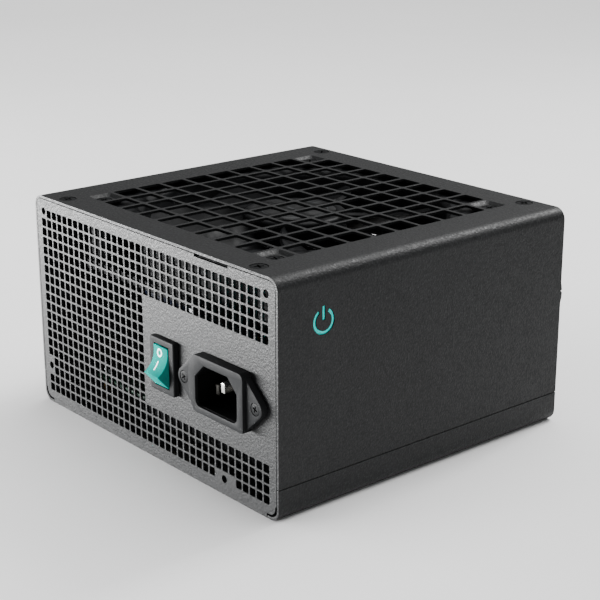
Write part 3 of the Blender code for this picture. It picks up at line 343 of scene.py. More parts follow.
@dataclass(frozen=True)
class HubFilm(Finish):
    """Printed foil disc on a fan's hub: a thin ring and a plain bar in silver ink on a dark ground."""

    ink: str = "4a4d50"
    ring_mm: Point2 = (12.6, 12.9)
    bar_mm: Point2 = (4.5, 0.35)

    def color_output(self, tree: Tree, place: Socket) -> Socket:
        """Returns the foil's colour, with its ring and its bar."""
        base = super().color_output(tree, place)
        flat = scaled(tree, place, (1, 1, 0))
        radius = add_node(tree, "ShaderNodeVectorMath", {0: flat}, operation="LENGTH").outputs["Value"]
        outer = calculate(tree, "LESS_THAN", radius, self.ring_mm[1] * MM)
        inner = calculate(tree, "GREATER_THAN", radius, self.ring_mm[0] * MM)
        shares = scaled(tree, flat, (1 / (self.bar_mm[0] * MM), 1 / (self.bar_mm[1] * MM), 0))
        size = add_node(tree, "ShaderNodeVectorMath", {0: shares}, operation="ABSOLUTE").outputs[0]
        sides = add_node(tree, "ShaderNodeSeparateXYZ", {"Vector": size}).outputs
        bar = calculate(tree, "LESS_THAN", calculate(tree, "MAXIMUM", sides[0], sides[1]), 1.0)
        ring = calculate(tree, "MULTIPLY", outer, inner)
        return blend(tree, calculate(tree, "MAXIMUM", ring, bar), base, self.ink)


# Powder-coated steel sheet: dull charcoal with a sanded look, and a broad soft gloss towards the light.
COATED_STEEL = PowderCoat("powder_coated_steel", "coated_steel", "0c0d0e", "101112", 0.50, gloss=0.25,
                          patch_mm=30.0, grain_mm=0.75, grain_height_mm=0.15, roughness_drift=0.10)
# Spark-eroded mould grain on flame-proof nylon: the even dark grey of switch and inlet housings.
NYLON_HOUSING = Finish("moulded_nylon_grey", "black_plastic", "151617", "18191a", 0.55, gloss=0.08,
                       patch_mm=8.0, grain_mm=0.35, grain_height_mm=0.012)
# Black nylon behind the panel, and painted shade inside the socket, where a thin near-black lining stands in
# for shade: almost no light comes back.
BLACK_NYLON_AND_SOCKET_SHADE = Finish("black_nylon_and_socket_shade", "black_plastic", "050506", "08090a", 0.60, gloss=0.05,
                     patch_mm=6.0, grain_mm=0.4)
# Glass-filled PBT of the fan: black with a faint flow pattern and a satin surface.
FAN_PBT = Finish("glass_filled_pbt", "fan_plastic", "0d0e0f", "131416", 0.50, gloss=0.12,
                 patch_mm=5.0, grain_mm=0.5, grain_height_mm=0.008, roughness_drift=0.06)
# Dyed polycarbonate of the rocker: clean teal with a silky surface.
TEAL_PC = Finish("teal_polycarbonate", "teal_plastic", "00766f", "007b73", 0.60, gloss=0.0,
                 patch_mm=4.0, grain_mm=0.3, grain_height_mm=0.004)
# The plate behind the cut-out mark: bright cyan ABS.
CYAN_ABS = Finish("cyan_abs", "teal_plastic", "00f2ea", "04f6ee", 0.50, gloss=0.1, patch_mm=4.0, grain_mm=0.3,
                  grain_height_mm=0.004)
# Two-part pad-printing ink: flat opaque white.
PAD_INK = Finish("white_pad_ink", "teal_plastic", "f2f5f5", "fbfcfc", 0.6, patch_mm=0.8, grain_mm=0.15,
                 grain_height_mm=0.003)
# Black-oxide steel screws: near black with a dull oily look.
BLACK_OXIDE = Finish("black_oxide_steel", "black_steel", "0e0f10", "161718", 0.55, gloss=0.08,
                     patch_mm=1.2, grain_mm=0.25, grain_height_mm=0.012)
# Nickel plate on drawn brass: bright, slightly warm, with fine draw lines.
NICKEL = Brushed("nickel_plated_brass", "nickel", "d9d8d4", "e6e5e1", 0.24, metallic=1.0,
                 patch_mm=3.0, grain_mm=0.5, grain_height_mm=0.00005, stretch=(1.0, 20.0, 1.0))
# Painted shade for the two line pins: a dark metal colour stands in for the shade that they lie in, so they
# give back far less light than the nickel.
LINE_PIN_SHADE = Finish("line_pin_painted_shade", "nickel", "2e2d2b", "383735", 0.55, metallic=1.0, patch_mm=3.0, grain_mm=0.5,
             grain_height_mm=0.0005)
# Turned bright steel: shaft and board screws.
BRIGHT_STEEL = Brushed("turned_steel", "steel", "6a6c6e", "787a7c", 0.45, metallic=1.0, patch_mm=2.0,
                       grain_mm=0.15, grain_height_mm=0.003, stretch=(8.0, 8.0, 1.0))
# Extruded aluminium heatsinks: pale with long die lines.
ALUMINIUM = Brushed("extruded_aluminium", "aluminium", "6c6e70", "78797c", 0.50, metallic=1.0, patch_mm=9.0,
                    grain_mm=0.3, grain_height_mm=0.01, stretch=(1.0, 25.0, 1.0))
# Enamelled copper wire, wound: reddish brown turns with a lacquer gloss.
COPPER_WIRE = Wound("enamelled_copper_wire", "copper", "9a4a22", "b4602f", 0.40, metallic=0.9, patch_mm=2.5)
# Rolled copper strip: the spring blade of the switch.
COPPER_STRIP = Brushed("rolled_copper_strip", "copper", "b87348", "c58255", 0.32, metallic=1.0, patch_mm=2.0,
                       grain_mm=0.12, grain_height_mm=0.002, stretch=(1.0, 1.0, 14.0))
# Sintered bronze and turned brass: dull gold with pores.
BRASS = Finish("turned_brass", "bronze", "a98445", "b8934f", 0.36, metallic=1.0, patch_mm=1.5,
               grain_mm=0.2, grain_height_mm=0.006)
# Sintered ferrite: dark grey ceramic, matt with fine pits.
FERRITE = Finish("sintered_ferrite", "ferrite", "2a2a2c", "343436", 0.66, patch_mm=3.0, grain_mm=0.3,
                 grain_height_mm=0.03)
# Circuit board laminate under resist.
LAMINATE = Circuit("fr4_green_resist", "board", "03180e", "062718", 0.45, patch_mm=6.0, gloss=0.2)
# Heat-shrunk PVC sleeve of the capacitors: dark blue with a wrapped gloss.
SLEEVE = Finish("pvc_sleeve", "sleeve", "0e1424", "131b30", 0.45, gloss=0.2, patch_mm=5.0, grain_mm=1.6,
                grain_height_mm=0.02)
# Pressed aluminium can tops.
CAN_TOP = Finish("pressed_can_top", "sleeve", "3a3b3c", "444546", 0.6, metallic=0.6, patch_mm=2.0,
                 grain_mm=0.2, grain_height_mm=0.004)
# Polyester winding tape: amber yellow with lap edges.
TAPE = Wound("polyester_tape", "yellow_film", "5e480c", "6c5412", 0.50, patch_mm=6.0, wire_mm=5.0, gloss=0.2)
# Fish paper under the board.
FISH_PAPER = Finish("insulating_sheet", "black_plastic", "1c1d1f", "26282a", 0.6, patch_mm=7.0, grain_mm=0.8,
                    grain_height_mm=0.02)
# Foil disc on the hub and printed film on the wall.
HUB_FOIL = HubFilm("hub_foil", "label", "0e0f10", "131415", 0.45, gloss=0.3, patch_mm=4.0, grain_mm=0.3,
                    grain_height_mm=0.003)
RATING_FILM = PrintedFilm("rating_film", "label", "17191b", "1d1f21", 0.42, patch_mm=12.0, grain_mm=0.4,
                          grain_height_mm=0.003)


# ---------------------------------------------------------------------------------------------
# Shapes
# ---------------------------------------------------------------------------------------------


def new_verts(made: dict) -> list[Vert]:
    """Returns the vertices that an extrusion made."""
    return [item for item in made["geom"] if isinstance(item, Vert)]


def rectangle(x: float, y: float, across: float, up: float) -> list[Point2]:
    """Returns the corners of a rectangle round a middle, from the lower left one anticlockwise."""
    return [(x - across, y - up), (x + across, y - up), (x + across, y + up), (x - across, y + up)]


def arc(x: float, y: float, radius: float, first: float, last: float, steps: int) -> list[Point2]:
    """Returns points on an arc round a centre, from one angle in degrees to another."""
    angles = [math.radians(first + (last - first) * step / steps) for step in range(steps + 1)]
    return [(x + radius * math.cos(angle), y + radius * math.sin(angle)) for angle in angles]


def thicken(bm: Mesh, face: Face, way: Sequence[float], thickness: float) -> None:
    """Gives a sheet its thickness, against the way that one of its faces is turned."""
    bmesh.ops.recalc_face_normals(bm, faces=bm.faces)
    if face.normal.dot(Vector(way)) < 0:
        bmesh.ops.reverse_faces(bm, faces=bm.faces)
    bmesh.ops.solidify(bm, geom=bm.faces[:], thickness=thickness)


class Form:
    """A solid or sheet under construction, with the shop operations that the pieces share."""

    def __init__(self, bm: Mesh | None = None) -> None:
        """Starts empty, or takes over a bmesh."""
        self.bm = bm or bmesh.new()

    @classmethod
    def block(cls, low: Sequence[float], high: Sequence[float]) -> Form:
        """Returns an upright block between two corners."""
        form = cls()
        bmesh.ops.create_cube(form.bm, size=1.0)
        low_corner, high_corner = Vector(low), Vector(high)
        bmesh.ops.scale(form.bm, vec=high_corner - low_corner, verts=form.bm.verts)
        return form.move((low_corner + high_corner) / 2)

    @classmethod
    def plate(cls, corners: Sequence[Point2], axis: Axis, start: float, end: float,
              roundings: Sequence[float] = (), steps: int = 6) -> Form:
        """Pulls an outline along an axis.

        Args:
            corners: the outline's corners, as (y, z) for X, (x, z) for Y and (x, y) for Z.
            axis: the way it is pulled.
            start: where the plate starts along that axis.
            end: where it ends.
            roundings: how far back from each corner its rounding starts, 0 for a sharp one.
            steps: the facets of each rounding.

        Returns:
            The closed plate.
        """
        form = cls()
        verts = [form.bm.verts.new((u, v, start)) for u, v in corners]
        form.bm.faces.new(verts)
        for vert, reach in zip(verts, roundings):
            if reach > 0:
                bmesh.ops.bevel(form.bm, geom=[vert], offset=reach, segments=steps, profile=0.5,
                                affect="VERTICES", material=-1)
        return form.pull(axis, start, end)

    @classmethod
    def rod(cls, center: Point2, radius: float, axis: Axis, start: float, end: float,
            sides: int = 32) -> Form:
        """Returns a round bar along an axis. Its centre is given as plate() takes corners."""
        form = cls()
        bmesh.ops.create_circle(form.bm, cap_ends=True, radius=radius, segments=sides)
        form.move((center[0], center[1], start))
        return form.pull(axis, start, end)

    @classmethod
    def turned(cls, profile: Sequence[Point2], sides: int = 48) -> Form:
        """Spins a closed profile of (radius, z) once about Z."""
        form = cls()
        verts = [form.bm.verts.new((radius, 0, z)) for radius, z in profile]
        edges = [form.bm.edges.new((verts[i - 1], verts[i])) for i in range(len(verts))]
        bmesh.ops.spin(form.bm, geom=verts + edges, axis=(0, 0, 1), cent=(0, 0, 0),
                       angle=2 * math.pi, steps=sides, use_merge=True)
        bmesh.ops.remove_doubles(form.bm, verts=form.bm.verts, dist=TINY)
        flat = [face for face in form.bm.faces if face.calc_area() < SLIVER_AREA]
        bmesh.ops.delete(form.bm, geom=flat, context="FACES")
        loose = [edge for edge in form.bm.edges if not edge.link_faces]
        bmesh.ops.delete(form.bm, geom=loose, context="EDGES")
        return form.outwards()

    @classmethod
    def copy_of(cls, node: str) -> Form:
        """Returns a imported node's shape, its loose triangles merged into whole flat faces."""
        form = cls()
        form.bm.from_mesh(FRAME["nodes"][node].data)
        bmesh.ops.remove_doubles(form.bm, verts=form.bm.verts, dist=TINY)
        bmesh.ops.dissolve_limit(form.bm, angle_limit=math.radians(1), verts=form.bm.verts,
                                 edges=form.bm.edges)
        return form

    def pull(self, axis: Axis, start: float, end: float) -> Form:
        """Pulls a flat outline from z = start to z = end, and lays the solid along an axis."""
        pulled = bmesh.ops.extrude_face_region(self.bm, geom=self.bm.faces[:])
        bmesh.ops.translate(self.bm, vec=(0, 0, end - start), verts=new_verts(pulled))
        bmesh.ops.transform(self.bm, matrix=axis.value, verts=self.bm.verts)
        return self.outwards()

    def outwards(self) -> Form:
        """Turns every face outwards."""
        bmesh.ops.recalc_face_normals(self.bm, faces=self.bm.faces)
        return self

    def move(self, vec: Sequence[float]) -> Form:
        """Moves the whole form."""
        bmesh.ops.translate(self.bm, vec=Vector(vec), verts=self.bm.verts)
        return self

    def turn(self, degrees: float, axis: str, about: Sequence[float] = (0, 0, 0)) -> Form:
        """Turns the whole form about a line through a point, along X, Y or Z."""
        bmesh.ops.rotate(self.bm, cent=Vector(about), matrix=Matrix.Rotation(math.radians(degrees), 3, axis),
                         verts=self.bm.verts)
        return self

    def add(self, *others: Form) -> Form:
        """Takes in other forms as they are, as separate shells."""
        for other in others:
            mesh = other.to_mesh("part")
            self.bm.from_mesh(mesh)
            bpy.data.meshes.remove(mesh)
        return self

    def combine(self, other: Form, operation: str) -> Form:
        """Replaces this form by its exact union with, or difference from, another."""
        made = []
        for form in (self, other):
            made.append(bpy.data.objects.new("part", form.to_mesh("part")))
            bpy.context.scene.collection.objects.link(made[-1])
        base, tool = made
        change = base.modifiers.new("change", "BOOLEAN")
        change.operation = operation
        change.solver = "EXACT"
        change.object = tool
        bpy.context.view_layer.update()
        seen = base.evaluated_get(bpy.context.evaluated_depsgraph_get())
        result = bpy.data.meshes.new_from_object(seen)
        self.bm = bmesh.new()
        self.bm.from_mesh(result)
        bpy.data.meshes.remove(result)
        for item in made:
            mesh = item.data
            bpy.data.objects.remove(item, do_unlink=True)
            bpy.data.meshes.remove(mesh)
        return self

    def cut(self, *tools: Form) -> Form:
        """Takes other forms away from this one."""
        for tool in tools:
            self.combine(tool, "DIFFERENCE")
        return self

    def join(self, *parts: Form) -> Form:
        """Fuses other forms with this one."""
        for part in parts:
            self.combine(part, "UNION")
        return self

    def round_edges(self, chosen: Callable[[Edge], bool], width: float, steps: int = 2) -> Form:
        """Rounds the edges that a test picks out."""
        edges = [edge for edge in self.bm.edges if chosen(edge)]
        if edges:
            bmesh.ops.bevel(self.bm, geom=edges, offset=width, segments=steps, profile=0.5,
                            affect="EDGES", material=-1, clamp_overlap=True)
        return self

    def round_sharp(self, width: float, steps: int = 2, angle: float = 40.0) -> Form:
        """Rounds every outer edge that is sharper than this angle."""
        limit = math.radians(angle)

        def is_sharp(edge: Edge) -> bool:
            """Tells whether an edge is an outer one and sharp."""
            return edge.is_manifold and edge.is_convex and edge.calc_face_angle(0.0) > limit

        return self.round_edges(is_sharp, width, steps)

    def to_mesh(self, name: str) -> bpy.types.Mesh:
        """Turns the form into a mesh and frees it."""
        mesh = bpy.data.meshes.new(name)
        self.bm.to_mesh(mesh)
        self.bm.free()
        return mesh


def is_upright(axis: int, length: float) -> Callable[[Edge], bool]:
    """Returns a test for the inner corner edges of holes: along one axis, this long, and not convex."""

    def test(edge: Edge) -> bool:
        """Tells whether an edge is such a corner."""
        span = edge.verts[1].co - edge.verts[0].co
        along = abs(span[axis])
        return (edge.is_manifold and not edge.is_convex and abs(along - length) < 0.05 * MM
                and span.length - along < TINY and edge.calc_face_angle(0.0) > math.radians(60))

    return test


def lies_before(limit: float) -> Callable[[Edge], bool]:
    """Returns a test for the edges that lie at or before a place along Y."""
    return lambda edge: all(vert.co.y < limit + TINY for vert in edge.verts)


def pull_edge(bm: Mesh, axis: int, at: float, to: float) -> None:
    """Draws the edge of a sheet that lies at one place along an axis out to another place.

    Args:
        bm: the sheet.
        axis: 0, 1 or 2.
        at: where the edge lies now.
        to: where it goes.
    """
    edges = [e for e in bm.edges if e.is_boundary and all(abs(v.co[axis] - at) < TINY for v in e.verts)]
    made = bmesh.ops.extrude_edge_only(bm, edges=edges)
    for vert in new_verts(made):
        vert.co[axis] = to


def fold_edge(bm: Mesh, side: float, radius: float, up: float) -> None:
    """Folds the sheet's edge at x = side through a right angle about a line along Y.

    Args:
        bm: the sheet.
        side: the edge's place, which is where the fold starts.
        radius: the fold's outer radius; not used.
        up: the height of the fold's axis less the sheet's.
    """
    edges = [e for e in bm.edges if e.is_boundary and all(abs(v.co.x - side) < TINY for v in e.verts)]
    height = edges[0].verts[0].co.z
    turn = math.copysign(math.pi / 2, side) * (1 if up < 0 else -1)
    bmesh.ops.spin(bm, geom=edges, cent=(side, 0, height + up), axis=(0, 1, 0), angle=turn, steps=8)
    bmesh.ops.remove_doubles(bm, verts=bm.verts, dist=TINY)


def vent_grid(columns: int, rows: int, pitch: float, center: Point2, hole: float,
              is_open: Callable[[float, float], bool]) -> tuple[Mesh, list[Face]]:
    """Lays out a flat sheet of square cells and marks the openings in them.

    Args:
        columns: cells along X.
        rows: cells along Y.
        pitch: the size of a cell.
        center: the middle of the sheet.
        hole: the size of an opening.
        is_open: tells from a cell's middle whether it has an opening.

    Returns:
        The sheet and the faces that lie in its openings.
    """
    bm = bmesh.new()
    bmesh.ops.create_grid(bm, x_segments=columns, y_segments=rows, size=0.5)
    bmesh.ops.scale(bm, vec=(columns * pitch, rows * pitch, 1), verts=bm.verts)
    bmesh.ops.translate(bm, vec=(center[0], center[1], 0), verts=bm.verts)
    cells = []
    for face in bm.faces:
        middle = face.calc_center_median()
        if is_open(middle.x, middle.y):
            cells.append(face)
    bmesh.ops.inset_individual(bm, faces=cells, thickness=(pitch - hole) / 2)
    return bm, cells


def cross_screw(length: float, head: float, shank: float, head_height: float) -> Form:
    """Makes a countersunk screw with a cross recess, pointing down from its head at the origin."""
    crown = 0.12 * MM
    profile = [(0, 0), (head * 0.8, 0), (head, -crown), (head, -crown * 2.5), (shank, -head_height),
               (shank, -length + shank), (shank * 0.5, -length), (0, -length)]
    body = Form.turned(profile, 40)
    reach, arm, depth = head * 0.58, head * 0.13, head_height * 0.85
    for corners in (((reach, arm), (-reach, arm), (-reach, -arm), (reach, -arm)),
                    ((arm, reach), (-arm, reach), (-arm, -reach), (arm, -reach))):
        body.cut(Form.plate(corners, Axis.Z, -depth, depth, [arm * 0.6] * 4, 3))
    return body


def seat_cutter(head: float, shank: float, head_height: float, clearance: float) -> Form:
    """Makes the hole and countersink that a screw sits in."""
    wide, thin = head + clearance, shank + clearance
    profile = [(0, SHEET), (wide, SHEET), (wide, -0.3 * MM), (thin, -head_height - clearance),
               (thin, -6 * MM), (0, -6 * MM)]
    return Form.turned(profile, 40)


def place_piece(name: str, form: Form, finish: Finish, body: Body = Body.HOUSING,
                stands_for: Iterable[str] = (), smooth_angle: float = 30.0,
                soften: float = 0.0) -> bpy.types.Object:
    """Turns a form into a shown piece that rides on a body.

    Args:
        name: the piece's name.
        form: its shape, used up.
        finish: its surface.
        body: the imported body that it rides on.
        stands_for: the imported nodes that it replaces.
        smooth_angle: edges sharper than this many degrees stay sharp.
        soften: the width of a bevel modifier on its sharp edges, 0 for none.

    Returns:
        The piece's object.
    """
    mesh = form.to_mesh(name)
    mesh.materials.clear()
    mesh.materials.append(finish.material())
    mesh.shade_smooth()
    mesh.set_sharp_from_angle(angle=math.radians(smooth_angle))
    piece = bpy.data.objects.new(name, mesh)
    bpy.context.scene.collection.objects.link(piece)
    if soften > 0:
        bevel = piece.modifiers.new("soft edges", "BEVEL")
        bevel.width = soften
        bevel.segments = 2
        bevel.limit_method = "ANGLE"
        bevel.angle_limit = math.radians(40)
    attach(piece, body.value)
    if stands_for:
        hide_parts(*stands_for)
    LOG.info("%s: %d faces on %s", name, len(mesh.polygons), body.value)
    return piece


def dress_node(node: str, finish: Finish) -> None:
    """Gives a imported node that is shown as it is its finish."""
    mesh = FRAME["nodes"][node].data
    mesh.materials.clear()
    mesh.materials.append(finish.material())


def refine_node(node: str, finish: Finish, body: Body = Body.HOUSING,
                width: float = 0.25 * MM) -> bpy.types.Object:
    """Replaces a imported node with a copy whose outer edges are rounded."""
    form = Form.copy_of(node).round_sharp(width)
    return place_piece(f"{node}_fine", form, finish, body, [node])


def corners_of(node: str) -> tuple[Vector, Vector]:
    """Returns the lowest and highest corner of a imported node."""
    low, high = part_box(node)
    return Vector(low), Vector(high)


def middle_of(node: str) -> Vector:
    """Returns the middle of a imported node's box."""
    low, high = corners_of(node)
    return (low + high) / 2


def top_of(node: str) -> Point3:
    """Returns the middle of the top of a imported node's box."""
    low, high = corners_of(node)
    return ((low.x + high.x) / 2, (low.y + high.y) / 2, high.z)


def front_of(node: str) -> Point3:
    """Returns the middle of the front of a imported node's box."""
    low, high = corners_of(node)
    return ((low.x + high.x) / 2, low.y, (low.z + high.z) / 2)


def passage(node: str, gap: float, near: float, far: float) -> Form:
    """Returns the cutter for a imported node's way along Y, with a gap round it."""
    low, high = corners_of(node)
    return Form.block((low.x - gap, near, low.z - gap), (high.x + gap, far, high.z + gap))


# ---------------------------------------------------------------------------------------------
# Case
# ---------------------------------------------------------------------------------------------


@dataclass
class Fixings:
    """The screws that hold the case and the fan, and the seats pressed for them."""

    cover_head: float = 3.1 * MM
    cover_shank: float = 1.5 * MM
    fan_head: float = 2.9 * MM
    fan_shank: float = 1.0 * MM
    inlet_head: float = 2.1 * MM
    inlet_shank: float = 1.0 * MM
    head_height: float = 1.2 * MM
    clearance: float = 0.25 * MM
    upright_turn: float = 23
    inlet_turn: float = 35

    def seat_at(self, node: str, head: float, shank: float) -> Form:
        """Returns the cutter for the seat of an upright screw."""
        return seat_cutter(head, shank, self.head_height, self.clearance).move(top_of(node))

    def cover_seats(self) -> list[Form]:
        """Returns the cutters for the four cover screws."""
        return [self.seat_at(f"cover_screw_{i}", self.cover_head, self.cover_shank) for i in range(1, 5)]

    def fan_seats(self) -> list[Form]:
        """Returns the cutters for the four fan screws."""
        return [self.seat_at(f"fan_screw_{i}", self.fan_head, self.fan_shank) for i in range(1, 5)]

    def build(self) -> None:
        """Makes all ten screws."""
        kinds = (("cover", self.cover_head, self.cover_shank), ("fan", self.fan_head, self.fan_shank))
        for kind, head, shank in kinds:
            for number in range(1, 5):
                node = f"{kind}_screw_{number}"
                low, high = corners_of(node)
                screw = cross_screw(high.z - low.z, head, shank, self.head_height)
                screw.turn(self.upright_turn * number, "Z").move(top_of(node))
                place_piece(f"{node}_cross", screw, BLACK_OXIDE, Body.HOUSING, [node])
        for number in (1, 2):
            node = f"inlet_screw_{number}"
            low, high = corners_of(node)
            screw = cross_screw(high.y - low.y, self.inlet_head, self.inlet_shank, self.head_height)
            screw.turn(self.inlet_turn * number, "Z").turn(90, "X").move(front_of(node))
            place_piece(f"{node}_cross", screw, BLACK_OXIDE, Body.HOUSING, [node])


@dataclass
class Cover:
    """The folded steel cover: top with the intake grille, and both side walls."""

    fixings: Fixings
    cells: int = 10
    pitch: float = 11.55 * MM
    hole: float = 9.5 * MM
    hole_round: float = 0.9 * MM
    pocket_depth: float = 1.1 * MM
    pocket_slope: float = 1.3 * MM
    fold: float = 4.5 * MM
    mark_y: float = -50.2 * MM
    mark_z: float = 67.8 * MM
    mark_radius: float = 4.7 * MM
    mark_stroke: float = 1.3 * MM
    mark_bar: float = 5.0 * MM
    mark_gap: float = 35.0
    badge_sink: float = 0.5 * MM
    badge_slack: float = 0.04 * MM

    def build(self) -> None:
        """Folds the sheet, punches it and places the cover."""
        low, high = corners_of("top_cover")
        reach = (self.cells - 1) / 2 * self.pitch
        corner = reach - self.pitch / 2
        bm, cells = vent_grid(self.cells, self.cells, self.pitch, (0, 0), self.hole, lambda x, y: True)
        pockets = [f for f in cells if min(abs(c) for c in f.calc_center_median().xy) > corner]
        holes = [f for f in cells if f not in pockets]
        bmesh.ops.delete(bm, geom=holes, context="FACES")
        for pocket in pockets:
            pressed = bmesh.ops.extrude_face_region(bm, geom=[pocket])
            floor = new_verts(pressed)
            bmesh.ops.translate(bm, vec=(0, 0, -self.pocket_depth), verts=floor)
            shrink = 1 - 2 * self.pocket_slope / self.hole
            bmesh.ops.scale(bm, vec=(shrink, shrink, 1), verts=floor,
                            space=Matrix.Translation(-pocket.calc_center_median()))
        bmesh.ops.delete(bm, geom=[pocket for pocket in pockets if pocket.is_valid], context="FACES_ONLY")
        bmesh.ops.translate(bm, vec=(0, 0, high.z), verts=bm.verts)
        half = self.cells / 2 * self.pitch
        pull_edge(bm, 1, -half, low.y)
        pull_edge(bm, 1, half, high.y)
        pull_edge(bm, 0, -half, low.x + self.fold)
        pull_edge(bm, 0, half, high.x - self.fold)
        for side in (low.x + self.fold, high.x - self.fold):
            fold_edge(bm, side, self.fold, -self.fold)
        pull_edge(bm, 2, high.z - self.fold, low.z)
        thicken(bm, max(bm.faces, key=lambda f: f.calc_center_median().z), (0, 0, 1), SHEET)
        form = Form(bm)
        form.round_edges(is_upright(2, SHEET), self.hole_round, 4)
        form.round_edges(self.is_pocket_corner, self.hole_round, 4)
        form.cut(*self.fixings.cover_seats(), *self.fixings.fan_seats())
        for stroke in self.mark_strokes(high.x - 2 * SHEET, high.x + SHEET):
            form.cut(stroke)
        place_piece("top_cover_sheet", form, COATED_STEEL, Body.HOUSING, ["top_cover"], soften=0.12 * MM)
        self.build_badge()

    def is_pocket_corner(self, edge: Edge) -> bool:
        """Tells whether an edge runs down a corner of a pocket."""
        first, second = (vert.co for vert in edge.verts)
        return ((first.xy - second.xy).length < 2 * self.pocket_slope
                and abs(abs(first.z - second.z) - self.pocket_depth) < 10 * TINY)

    def build_badge(self) -> None:
        """Makes the raised strokes of the coloured plate, which show in the cut-out mark."""
        high = corners_of("top_cover")[1]
        plate = corners_of("badge_plate")[1].x
        ring, bar = self.mark_strokes(plate - self.badge_sink, high.x - self.badge_sink, self.badge_slack)
        place_piece("badge_strokes", ring.add(bar), CYAN_ABS)

    def mark_strokes(self, start: float, end: float, slack: float = 0.0) -> list[Form]:
        """Returns the mark's strokes: an open ring and the bar in its gap.

        Args:
            start: where they start along X.
            end: where they end.
            slack: how much thinner than the cut-out they are on each side.

        Returns:
            The ring and the bar.
        """
        inner = self.mark_radius - self.mark_stroke + slack
        ring = Form.rod((self.mark_y, self.mark_z), self.mark_radius - slack, Axis.X, start, end, 64)
        ring.cut(Form.rod((self.mark_y, self.mark_z), inner, Axis.X, start - SHEET, end + SHEET, 64))
        gap = self.mark_radius * math.sin(math.radians(self.mark_gap)) + slack
        top = self.mark_z + 2 * self.mark_radius
        wedge = [(self.mark_y, self.mark_z), (self.mark_y + gap * 2, top), (self.mark_y - gap * 2, top)]
        ring.cut(Form.plate(wedge, Axis.X, start - SHEET, end + SHEET))
        half = self.mark_stroke / 2 - slack
        bar_top = self.mark_z + self.mark_radius + half
        bar_low = bar_top - self.mark_bar + 2 * slack
        corners = [(self.mark_y - half, bar_low), (self.mark_y + half, bar_low),
                   (self.mark_y + half, bar_top), (self.mark_y - half, bar_top)]
        return [ring, Form.plate(corners, Axis.X, start, end, [0.15 * MM] * 4, 3)]


@dataclass
class Tray:
    """The folded tray: floor and two low side lips, notched at both ends."""

    fold: float = 4.5 * MM
    notch_depth: float = 3.5 * MM

    def build(self) -> None:
        """Folds the tray and places it."""
        low, high = corners_of("bottom_tray")
        flat = high.x - self.fold
        bm = bmesh.new()
        bmesh.ops.create_grid(bm, x_segments=1, y_segments=1, size=0.5)
        bmesh.ops.scale(bm, vec=(2 * flat, high.y - low.y, 1), verts=bm.verts)
        for side in (-flat, flat):
            fold_edge(bm, side, self.fold, self.fold)
        pull_edge(bm, 2, self.fold, high.z)
        thicken(bm, min(bm.faces, key=lambda f: f.calc_center_median().z), (0, 0, -1), SHEET)
        form = Form(bm)
        reach = flat - 2 * SHEET + 0.3 * MM
        for end, inward in ((low.y, 1), (high.y, -1)):
            near, far = sorted((end - inward * SHEET, end + inward * self.notch_depth))
            form.cut(Form.block((-reach, near, -SHEET), (reach, far, 2 * SHEET)))
        place_piece("bottom_tray_sheet", form, COATED_STEEL, Body.HOUSING, ["bottom_tray"], soften=0.12 * MM)


